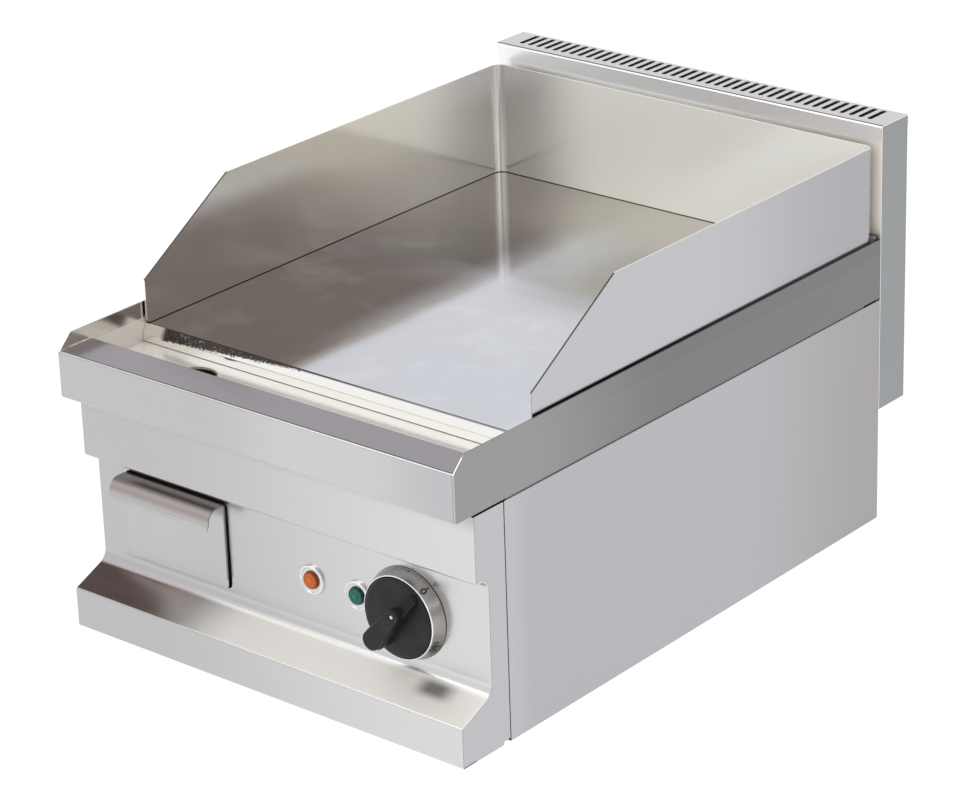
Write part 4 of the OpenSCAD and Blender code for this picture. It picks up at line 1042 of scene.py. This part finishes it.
@dataclass
class FrontCasing:
    """Folded front panel, cheeks and side panels."""

    bench: Bench
    drawer: "GreaseDrawer"
    lip_h: float = 33.5
    slope_deg: float = 23.0
    flange_y: float = 16.0
    fascia_y: float = 21.0
    fascia_z: float = 141.6
    top_z: float = 214.0
    top_back: float = 41.0
    bends: tuple[float, ...] = (0, 2.2, 2.2, 12, 9, 2.2, 2.2, 0)
    notch_x: float = 198.2
    notch_z: float = 195.9
    lamp_hole_r: float = 6.2
    shaft_hole_r: float = 5.8

    def run(self) -> list[Point]:
        """Outer line of the front, from bottom flange to the flange under the gutter."""
        ledge_top = self.lip_h + PANEL_Y * math.tan(math.radians(self.slope_deg))
        points = [(self.flange_y, 0.0), (0.0, 0.0), (0.0, self.lip_h), (PANEL_Y, ledge_top),
                  (PANEL_Y, self.fascia_z), (self.fascia_y, self.fascia_z), (self.fascia_y, self.top_z),
                  (self.top_back, self.top_z)]
        return rounded(points, self.bends)

    def cutters(self) -> list[Mesh]:
        """Cutters of the drawer's opening, the notches at the worktop's ends, and the holes of lamps and shaft."""
        through = (Axis.Y, PANEL_Y - 1, PANEL_Y + 3)
        tools = [slab(rounded_rect(*self.drawer.opening(), 4), *through)]
        for side in (-1, 1):
            x0, x1 = sorted((side * self.notch_x, side * (HALF_W + 1)))
            tools.append(block((x0, self.fascia_y - 1, self.notch_z), (x1, self.top_back + 5, self.top_z + 1)))
        tools += [rod((x, CONTROL_Z), *through, self.lamp_hole_r) for x in (ORANGE_X, GREEN_X)]
        return tools + [rod((KNOB_X, CONTROL_Z), *through, self.shaft_hole_r)]

    def build(self) -> None:
        """Builds the front panel, and dresses the other sheets of the casing."""
        bm = soften(sheet(self.run(), Axis.X, -HALF_W, HALF_W, SHEET_T), 0.25, pick=at_sides)
        self.bench.piece("front_panel_sheet", carve(bm, *self.cutters()), FRONT_STEEL, "front_panel")
        self.bench.dress(SIDE_STEEL, "left_cheek", "right_cheek", "left_side_panel", "right_side_panel")


@dataclass
class Worktop:
    """Worktop sheet with its gutter, welded side walls and weld beads."""

    bench: Bench
    front_y: float = 1.5
    hem: float = 14.0
    skirt_z: float = 197.5
    lip_z: float = 237.1
    wall_z: float = 248.7
    gutter_y: float = 37.5
    rear_top: float = 252.0
    bends: tuple[float, ...] = (0, 2.5, 2.5, 2.5, 2.6, 1.6, 0)
    chamfer: float = 13.0
    corner_r: float = 2.5
    drain_y: float = 64.75
    drain_r: float = 17.0
    screw_x: float = 192.5
    screw_z: float = 247.4
    screw_r: float = 2.2
    bead_r: float = 0.9
    bead_in: float = 0.35
    bead_y: Point = (4.5, 36.0)
    drop_shape: Triple = (1.0, 0.8, 0.62)
    drop_sizes: Point = (0.8, 1.15)
    drop_stray: float = 0.15
    drop_step: float = 0.75

    def folded(self) -> Mesh:
        """Folded middle sheet from the front hem to the rear upstand, with its drain hole and screw holes."""
        points = [(self.front_y + self.hem, self.skirt_z), (self.front_y, self.skirt_z), (self.front_y, self.lip_z),
                  (self.gutter_y, self.lip_z), (self.gutter_y, DECK_Z), (RIM_BACK, DECK_Z),
                  (RIM_BACK, self.rear_top)]
        x = HALF_W - TOP_T
        holes = [rod((DRAWER_X, self.drain_y), Axis.Z, DECK_Z - 4, DECK_Z + 4, self.drain_r, 72)]
        holes += [rod((side * self.screw_x, self.screw_z), Axis.Y, RIM_BACK - 2, RIM_BACK + 4, self.screw_r, 24)
                  for side in (-1, 1)]
        return carve(sheet(rounded(points, self.bends, 8), Axis.X, -x, x, TOP_T), *holes)

    def wall(self) -> Mesh:
        """Right side wall with its chamfered front corner."""
        back, r = RIM_BACK + TOP_T, self.corner_r
        outline = [(back, self.skirt_z), (back, self.wall_z), (self.front_y + self.chamfer, self.wall_z),
                   (self.front_y, self.lip_z - 1.0)] + arc((self.front_y + r, self.skirt_z + r), r, 180, 270, 5)
        return soften(slab(outline, Axis.X, HALF_W - TOP_T, HALF_W), 0.45)

    def bead(self, side: int) -> Mesh:
        """Rippled weld bead along the joint of band and side wall.

        Args:
            side: -1 for left, 1 for right.

        Returns:
            The bead's mesh.
        """
        rng = random.Random(31 + side)
        drops = []
        x = side * (HALF_W - TOP_T - self.bead_in)
        y, end = self.bead_y
        while y < end:
            bm = bmesh.new()
            size = self.bead_r * rng.uniform(*self.drop_sizes)
            place = (x + rng.uniform(-self.drop_stray, self.drop_stray), y, self.lip_z + 0.05)
            bmesh.ops.create_uvsphere(bm, u_segments=10, v_segments=6, radius=size)
            bmesh.ops.scale(bm, verts=bm.verts[:], vec=self.drop_shape)
            bmesh.ops.translate(bm, verts=bm.verts[:], vec=place)
            drops.append(bm)
            y += self.bead_r * self.drop_step
        return gather(*drops)

    def build(self) -> None:
        """Builds worktop, walls and beads, and darkens the spout under the drain hole as painted shade inside the
        hole.
        """
        self.bench.dress(SPOUT_SHADE_STEEL, "drain_spout")
        right = self.wall()
        left = mirrored(right)
        self.bench.piece("worktop_sheet", gather(self.folded(), right, left), TOP_STEEL, "worktop")
        for side, name in ((-1, "left"), (1, "right")):
            self.bench.piece(f"worktop_{name}_weld", self.bead(side), WELD, slot="polished_worktop")


@dataclass
class CookingPlate:
    """Thick plate with a bevelled front edge."""

    bench: Bench
    half_w: float = 198.2
    front_y: float = 92.0
    back_y: float = 539.7
    bevel: Point = (4.0, 7.0)
    radii: tuple[float, ...] = (0, 0, 2, 1, 0)

    def build(self) -> None:
        """Builds the plate."""
        deep, high = self.bevel
        points = [(self.back_y, DECK_Z), (self.front_y, DECK_Z), (self.front_y, PLATE_TOP - high),
                  (self.front_y + deep, PLATE_TOP), (self.back_y, PLATE_TOP)]
        bm = soften(slab(rounded(points, self.radii, 8), Axis.X, -self.half_w, self.half_w), 0.3)
        front = self.bench.datum.spot(0, self.front_y, PLATE_TOP)
        finish = GroundPlate("plate_finish", front=(front.y, front.z), bevel=(deep * MM, high * MM))
        self.bench.piece("cooking_plate", bm, finish, "griddle_plate")


@dataclass
class SplashGuard:
    """Guard bent from one sheet round three sides of the plate. Over is how far its cutters stand out of it."""

    bench: Bench
    half_w: float = 196.8
    front_y: float = 95.0
    back_y: float = 537.3
    top_z: float = 328.3
    front_top_z: float = 266.6
    slope_y: float = 195.0
    corner_r: float = 10.0
    toe_r: float = 5.0
    over: float = 2.0

    def build(self) -> None:
        """Builds the guard with its sloping front corners and its round toes."""
        w, front, r = self.half_w, self.front_y, self.toe_r
        fall = (self.top_z - self.front_top_z) / (self.slope_y - front)
        run = rounded([(-w, front), (-w, self.back_y), (w, self.back_y), (w, front)],
                      [0, self.corner_r, self.corner_r, 0], 14)
        above = self.top_z + self.over
        slope = [(front - 1, self.front_top_z - fall), (self.slope_y, self.top_z), (self.slope_y, above),
                 (front - 1, above)]
        toe = [(front - 1, PLATE_TOP - 1), (front + r, PLATE_TOP - 1),
               *arc((front + r, PLATE_TOP + r), r, 270, 180, 6), (front - 1, PLATE_TOP + r)]
        bm = carve(sheet(run, Axis.Z, PLATE_TOP, self.top_z, TOP_T),
                   *(slab(outline, Axis.X, -w - self.over, w + self.over) for outline in (slope, toe)))
        self.bench.piece("splash_guard_sheet", bm, GUARD_STEEL, "splash_guard")


@dataclass
class Chimney:
    """Chimney with its row of outlet slots."""

    bench: Bench
    front_y: float = 541.8
    back_y: float = 580.0
    low_z: float = 98.4
    top_z: float = 345.3
    drip: float = 10.0
    pitch: float = 9.03
    count: int = 41
    slot_w: float = 4.5
    slot_y: Point = (551.0, 575.5)
    stud_x: float = 120.0
    stud_z: float = 289.0
    stud_r: float = 3.2
    vent_x: float = 150.0
    vent_z: Point = (114.0, 182.0)

    def cutters(self) -> list[Mesh]:
        """Cutters of the outlet slots, of the stud holes and of the vent into the casing."""
        r = self.slot_w / 2
        tools = []
        for k in range(self.count):
            x = (k - (self.count - 1) / 2) * self.pitch
            tools.append(slab(rounded_rect(x - r, self.slot_y[0], x + r, self.slot_y[1], r - 0.001, 5),
                              Axis.Z, self.top_z - 4, self.top_z + 2))
        y0, y1 = self.front_y - 2, self.front_y + 3
        tools += [rod((side * self.stud_x, self.stud_z), Axis.Y, y0, y1, self.stud_r, 24) for side in (-1, 1)]
        return tools + [block((-self.vent_x, y0, self.vent_z[0]), (self.vent_x, y1, self.vent_z[1]))]

    def build(self) -> None:
        """Builds the shell and dresses the rest."""
        run = rounded([(self.front_y, self.low_z), (self.front_y, self.top_z), (self.back_y, self.top_z),
                       (self.back_y, self.top_z - self.drip)], [0, 2.2, 2.2, 0], 8)
        bm = soften(sheet(run, Axis.X, -HALF_W, HALF_W, SHEET_T), 0.25, pick=at_sides)
        self.bench.piece("chimney_shell_sheet", carve(bm, *self.cutters()), CHIMNEY_STEEL, "chimney_shell")
        self.bench.dress(END_STEEL, "chimney_back", "chimney_left_end", "chimney_right_end")


@dataclass
class GreaseDrawer:
    """Drawer front with its rolled pull, and the tray behind it."""

    bench: Bench
    width: float = 106.5
    gap: float = 1.6
    open_z: Point = (58.7, 132.4)
    face_y: float = 32.6
    low_z: float = 59.7
    top_z: float = 131.4
    face_h: float = 30.0
    pull_y: float = 14.4
    tip_z: float = 116.9
    pull_bends: tuple[float, ...] = (0, 4, 10, 1.2, 0)
    return_l: float = 13.0
    tray_w: float = 98.5
    tray_l: float = 250.0
    tray_z: Point = (62.0, 118.0)
    tray_t: float = 1.0

    def opening(self) -> tuple[float, float, float, float]:
        """Opening in the front panel: x0, z0, x1, z1."""
        half = self.width / 2 + self.gap
        return DRAWER_X - half, self.open_z[0], DRAWER_X + half, self.open_z[1]

    def front(self) -> Mesh:
        """Front with the pull rolled out of its upper edge, and its side returns."""
        x0, x1 = DRAWER_X - self.width / 2, DRAWER_X + self.width / 2
        face, low, top = self.face_y, self.low_z, self.top_z
        run = rounded([(self.pull_y - 2.2, self.tip_z), (self.pull_y, self.tip_z + 3), (self.pull_y, top),
                       (face, top), (face, low + 8)], self.pull_bends)
        rolled = soften(sheet(run, Axis.X, x0, x1, SHEET_T), 0.3, pick=lambda e: abs(middle(e).x - DRAWER_X) >= 52)
        brow = soften(block((x0, face + 0.6, top - SHEET_T), (x1, face + 6, top)), 0.2)
        plate = slab(rounded_rect(x0, low, x1, low + self.face_h, 3), Axis.Y, face, face + SHEET_T)
        returns = [block((x, face + 0.4, low + 5), (x + SHEET_T, face + self.return_l, top - 2))
                   for x in (x0, x1 - SHEET_T)]
        return gather(rolled, brow, soften(plate, 0.25), *returns)

    def tray(self) -> Mesh:
        """Deep-drawn tray behind the front."""
        half, y0 = self.tray_w / 2, self.face_y + SHEET_T
        bm = block((DRAWER_X - half, y0, self.tray_z[0]), (DRAWER_X + half, y0 + self.tray_l, self.tray_z[1]))
        bmesh.ops.delete(bm, geom=[f for f in bm.faces if f.normal.z > 0.9], context="FACES")
        return thicken(soften(bm, 3.0, 4), self.tray_t)

    def build(self) -> None:
        """Builds front and tray."""
        self.bench.piece("drawer_front_sheet", self.front(), DRAWER_STEEL, "drawer_front", body="drawer")
        self.bench.piece("drawer_tray_pan", self.tray(), TRAY_STEEL, "drawer_tray", body="drawer")


@dataclass
class Controls:
    """Knob, dial ring and the dial's numbers. Profiles are points (radius, y)."""

    bench: Bench
    ring_profile: tuple[Point, ...] = (
        (8.0, 35.0), (33.2, 35.0), (37.2, 34.53), (37.2, 34.03), (37.05, 33.63), (33.7, 23.75), (33.5, 23.48),
        (33.25, 23.4), (33.0, 23.4), (32.8, 23.65), (32.8, 33.8), (8.0, 33.8))
    ring_rim: Point = (32.3, 33.75)
    knob_profile: tuple[Point, ...] = (
        (0, 20.8), (28.2, 22.05), (30.2, 22.25), (31.4, 22.7), (32.0, 23.3), (32.2, 24.1), (32.2, 27.0), (29.8, 27.0),
        (29.8, 25.6), (7, 24.2), (7, 32.6), (0, 32.6))
    knob_face: float = 20.8
    grip_end: float = 22.3
    knob_tip: float = 6.8
    grip_step: float = 10.8
    tail_z: float = -21.56
    tail_r: float = 8.12
    root_r: float = 9.24
    plateau_r: float = 5.6
    plateau_z: float = 12.94
    reach: float = 30.8
    tip_r: float = 4.2
    screw_at: float = 12.01
    screw_r: float = 2.3
    slant: tuple[Point, Point] = ((33.7, 23.75), (37.05, 33.5))
    zero_deg: float = 40.0
    middle_deg: float = 7.0
    full_deg: float = 118.0

    def ring(self) -> None:
        """Conical ring that carries the scale."""
        inner, outer = self.ring_rim
        finish = Spun("dial_finish", tint=(0.40, 0.385, 0.37), axis=self.bench.datum.axis(KNOB_X, CONTROL_Z),
                      band=(inner * MM, outer * MM, (0.95, 0.95, 0.94)))
        self.bench.piece("dial_ring_turned", turned(self.ring_profile, KNOB_X, CONTROL_Z, 128), finish, "dial_ring")

    @staticmethod
    def capsule(low: Point, high: Point) -> list[Point]:
        """Outline of two circles and their outer tangents, each circle given by its height and radius."""
        tilt = math.degrees(math.asin((low[1] - high[1]) / (high[0] - low[0])))
        return (arc((0, high[0]), high[1], tilt, 180 - tilt, 14)
                + arc((0, low[0]), low[1], 180 - tilt, 360 + tilt, 18))

    def grip(self) -> Mesh:
        """Raised grip with a round tail, and the low pilot wedge in front of it, drawn along +Z."""
        tip, step = self.knob_tip, self.grip_step
        body = slab(self.capsule((self.tail_z, self.tail_r), (self.plateau_z, self.plateau_r)), Axis.Y, tip,
                    self.grip_end)
        soften(body, 1.3, 4, lambda e: middle(e).y < tip + 0.1)
        body = carve(body, rod((0, self.screw_at), Axis.Y, tip - 1, tip + 1.2, self.screw_r, 32))
        wedge = slab(self.capsule((self.tail_z, self.root_r), (self.reach - self.tip_r, self.tip_r)), Axis.Y, step,
                     self.grip_end)
        slope = Vector((0, self.plateau_z - self.reach, self.knob_face - 1.5 - step)).normalized()
        cut = bmesh.ops.bisect_plane(
            wedge, geom=wedge.verts[:] + wedge.edges[:] + wedge.faces[:], dist=1e-4,
            plane_co=(0, step, self.plateau_z), plane_no=slope, clear_outer=True)["geom_cut"]
        bmesh.ops.holes_fill(wedge, edges=[g for g in cut if isinstance(g, bmesh.types.BMEdge)], sides=0)
        return gather(body, soften(outward(wedge), 1.6, 4, lambda e: middle(e).y < self.knob_face, angle=40))

    def knob(self) -> None:
        """Knob: turned skirt with the grip on it."""
        grip = self.grip()
        turn = Matrix.Translation((KNOB_X, 0, CONTROL_Z)) @ Matrix.Rotation(math.radians(self.zero_deg), 4, "Y")
        bmesh.ops.transform(grip, matrix=turn, verts=grip.verts[:])
        self.bench.piece("knob_moulding", gather(turned(self.knob_profile, KNOB_X, CONTROL_Z), grip), BLACK, "knob",
                         body="knob_assembly")

    def stroke(self, deg: float, line: Sequence[Point], closed: bool, width: float) -> Mesh:
        """One printed stroke on the ring's slant.

        Args:
            deg: angle of its mark, clockwise from the top.
            line: points (along the ring, down the slant).
            closed: whether the line returns to its first point.
            width: width of the line.

        Returns:
            The stroke as a thin closed mesh.
        """
        (r0, y0), (r1, y1) = self.slant
        length = math.hypot(r1 - r0, y1 - y0)
        down, out = Vector((r1 - r0, y1 - y0)) / length, Vector((y1 - y0, r0 - r1)) / length
        bm = bmesh.new()
        count = len(line)
        rows = []
        for k, point in enumerate(line):
            before = line[k - 1] if closed or k else point
            after = line[(k + 1) % count] if closed or k < count - 1 else point
            along = (Vector(after) - Vector(before)).normalized()
            side = Vector((-along.y, along.x)) * width / 2
            row = []
            for sign, lift in ((1, 0.12), (-1, 0.12), (-1, -0.2), (1, -0.2)):
                u, v = Vector(point) + side * sign
                angle = math.radians(deg) + u / (r0 + r1) * 2
                radius, y = Vector((r0, y0)) + down * v + out * lift
                row.append(bm.verts.new((KNOB_X + radius * math.sin(angle), y,
                                         CONTROL_Z + radius * math.cos(angle))))
            rows.append(row)
        for k in range(count if closed else count - 1):
            here, there = rows[k], rows[(k + 1) % count]
            for q in range(4):
                bm.faces.new((here[q], here[(q + 1) % 4], there[(q + 1) % 4], there[q]))
        if not closed:
            bm.faces.new(rows[0])
            bm.faces.new(rows[-1])
        return outward(bm)

    def oval(self, deg: float, centre: Point, radii: Point, width: float) -> Mesh:
        """Closed oval of a digit.

        Args:
            deg: angle of its mark, clockwise from the top.
            centre: its place along the ring and down the slant.
            radii: its radii in these directions.
            width: width of the line.

        Returns:
            The oval's mesh.
        """
        angles = [k * math.pi / 9 for k in range(18)]
        line = [(centre[0] + radii[0] * math.cos(a), centre[1] + radii[1] * math.sin(a)) for a in angles]
        return self.stroke(deg, line, True, width)

    def dot(self, deg: float, down: float) -> Mesh:
        """Short dash at the outer edge of the scale."""
        return self.stroke(deg, [(0.0, down - 0.6), (0.0, down + 0.6)], False, 1.5)

    def scale(self) -> None:
        """Numbers and marks of the dial: 0, a mark, and 180."""
        zero = self.oval(self.zero_deg, (0, 4.2), (1.6, 2.3), 1.45)
        one = self.stroke(self.full_deg, [(-4.3, 1.9), (-4.3, 6.7)], False, 1.2)
        rest = [self.oval(self.full_deg, centre, radii, 1.2) for centre, radii in (
            ((-0.4, 3.1), (1.3, 1.1)), ((-0.4, 5.5), (1.2, 1.05)), ((3.9, 4.3), (1.5, 2.3)))]
        dots = [self.dot(self.zero_deg, 8.4), self.dot(self.full_deg, 8.7), self.dot(self.middle_deg, 9.0)]
        self.bench.piece("dial_scale", gather(zero, one, *rest, *dots), PRINT, slot="black_knob")

    def build(self) -> None:
        """Builds ring, scale and knob."""
        self.ring()
        self.scale()
        self.knob()
        self.bench.dress(ZINC_PART, "knob_screw", "thermostat_shaft")


@dataclass
class Lamp:
    """Signal lamp: a coloured lens in a bright bezel. Profiles are points (radius, y)."""

    bench: Bench
    colour: str
    x: float
    tint: Colour
    deep: Colour
    lens_r: float = 7.0
    lens_profile: tuple[Point, ...] = (
        (0, 34.2), (7.0, 34.2), *arc((6.0, 32.3), 1.0, 0, -90, 6), (4.06, 31.4), (3.78, 31.75), (3.5, 31.9),
        (3.08, 31.9), (2.8, 31.6), (2.52, 31.1), (1.4, 30.9), (0, 30.8))
    bezel_profile: tuple[Point, ...] = (
        (7.1, 35.0), (12.2, 35.0), *arc((11.0, 33.8), 1.2, 0, -90, 6), (10.5, 32.6), (10.1, 33.1), (8.0, 33.3),
        (7.4, 33.45), (7.1, 33.8))
    bezel_face: Point = (7.5, 10.1)

    def build(self) -> None:
        """Builds lens and bezel."""
        axis = self.bench.datum.axis(self.x, CONTROL_Z)
        inner, outer = self.bezel_face
        lens, bezel = f"{self.colour}_lamp_lens", f"{self.colour}_lamp_bezel"
        coloured = LampLens(lens + "_finish", self.tint, self.deep, axis, self.lens_r * MM)
        bright = Spun("bezel_finish_" + self.colour, tint=(0.84, 0.84, 0.85), axis=axis,
                      band=(inner * MM, outer * MM, (0.64, 0.64, 0.645)), rough=0.26)
        self.bench.piece(lens + "_moulding", turned(self.lens_profile, self.x, CONTROL_Z, 64), coloured, lens)
        self.bench.piece(bezel + "_turned", turned(self.bezel_profile, self.x, CONTROL_Z, 64), bright, bezel)


# ---------------------------------------------------------------- studio


@dataclass
class Studio:
    """Pale floor, soft light and the camera.

    Lamps are a name, place, size and power each. Walls are directions in which the surroundings are darker, each
    with the cosines of its soft edge and its tone.
    """

    floor_span: float = 60.0
    camera_at: Triple = (1.72071, -2.04240, 1.29340)
    azimuth_deg: float = 40.26
    elevation_deg: float = 23.05
    roll_deg: float = -1.88
    lens_mm: float = 132.37
    sensor_mm: float = 36.0
    aim: Triple = (0.0, 0.0, 0.2)
    lamps: tuple[tuple[str, Triple, float, float], ...] = (
        ("key", (-1.2, -2.2, 2.6), 1.6, 14), ("fill", (2.4, -0.6, 1.8), 1.6, 6), ("top", (0.2, 0.6, 2.8), 2.0, 10))
    walls: tuple[tuple[Triple, Point, Colour], ...] = (
        ((0.85, 0.0, 0.53), (0.58, 0.71), (0.66, 0.62, 0.585)),
        ((-0.60, 0.23, 0.766), (0.90, 0.965), (0.09, 0.07, 0.065)))
    glow: float = 0.97
    matt: Colour = (0.12, 0.12, 0.12)
    sky_power: float = 0.95

    def floor(self) -> None:
        """Large pale floor."""
        bm = bmesh.new()
        bmesh.ops.create_grid(bm, x_segments=4, y_segments=4, size=self.floor_span / 2)
        floor = as_object("floor", as_mesh("floor", bm))
        material = bpy.data.materials.new("floor_finish")
        nodes = Nodes(material)
        glow = nodes.add("ShaderNodeEmission", inputs={"Color": (1.0, 1.0, 1.0), "Strength": self.glow})
        matt = nodes.add("ShaderNodeBsdfDiffuse", inputs={"Color": self.matt})
        both = nodes.add("ShaderNodeAddShader", inputs={0: glow, 1: matt})
        nodes.add("ShaderNodeOutputMaterial", inputs={"Surface": both})
        floor.data.materials.append(material)

    def sky(self) -> None:
        """Studio surroundings: bright above, warm on the right, with a dark side high on the left."""
        world = bpy.data.worlds.new("studio")
        bpy.context.scene.world = world
        nodes = Nodes(world)
        way = nodes.add("ShaderNodeTexCoord", out="Generated")
        colour = nodes.blend(nodes.axes(way)[2].between(0.2, 0.9), (1.0, 1.0, 1.0), (0.86, 0.86, 0.88))
        for aim, span, tone in self.walls:
            facing = nodes.add("ShaderNodeVectorMath", {"operation": "DOT_PRODUCT"},
                               {0: way, 1: tuple(Vector(aim).normalized())}, out="Value")
            colour = nodes.blend(facing.between(*span), colour, tone)
        back = nodes.add("ShaderNodeBackground", inputs={"Color": colour, "Strength": self.sky_power})
        nodes.add("ShaderNodeOutputWorld", inputs={"Surface": back})

    def lamp(self, name: str, at: Sequence[float], size: float, power: float) -> None:
        """One square soft box that looks at the griddle.

        Args:
            name: its name.
            at: its place.
            size: length of its side.
            power: its power in watts.
        """
        data = bpy.data.lights.new(name, "AREA")
        data.shape = "RECTANGLE"
        data.size = data.size_y = size
        data.energy = power
        obj = as_object(name, data)
        obj.location = at
        obj.rotation_euler = (Vector(self.aim) - Vector(at)).to_track_quat("-Z", "Y").to_euler()

    def camera(self) -> None:
        """Camera at the angle from which the griddle is shown."""
        az, el, roll = (math.radians(a) for a in (self.azimuth_deg, self.elevation_deg, self.roll_deg))
        back = Vector((math.sin(az) * math.cos(el), -math.cos(az) * math.cos(el), math.sin(el)))
        right = (-back).cross(Vector((0, 0, 1))).normalized()
        tilted = right * math.cos(roll) + right.cross(-back) * math.sin(roll)
        data = bpy.data.cameras.new("camera")
        data.sensor_width, data.lens = self.sensor_mm, self.lens_mm
        data.clip_start, data.clip_end = 0.1, 200
        obj = as_object("camera", data)
        axes = Matrix((tilted, back.cross(tilted), back)).transposed()
        obj.matrix_world = Matrix.Translation(self.camera_at) @ axes.to_4x4()
        bpy.context.scene.camera = obj

    def build(self) -> None:
        """Builds the studio."""
        self.camera()
        self.floor()
        self.sky()
        for lamp in self.lamps:
            self.lamp(*lamp)
        view = bpy.context.scene.view_settings
        view.view_transform = "Standard"
        view.look = "None"


def main() -> None:
    """Loads the frame, dresses every node and builds the modelled pieces."""
    logging.basicConfig(level=logging.INFO, format="%(name)s: %(message)s")
    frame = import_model()
    Studio().build()
    bench = Bench(frame)
    for node, slot in bench.slots.items():
        if slot in SLOT_FINISHES:
            bench.dress(SLOT_FINISHES[slot], node)
    drawer = GreaseDrawer(bench)
    orange = Lamp(bench, "orange", ORANGE_X, (0.60, 0.125, 0.002), (0.28, 0.045, 0.0))
    green = Lamp(bench, "green", GREEN_X, (0.005, 0.14, 0.11), (0.002, 0.05, 0.038))
    for part in (FrontCasing(bench, drawer), Worktop(bench), CookingPlate(bench), SplashGuard(bench),
                 Chimney(bench), drawer, Controls(bench), orange, green):
        part.build()
    LOG.info("%d modelled pieces", bench.count)


if __name__ == "__main__":
    main()
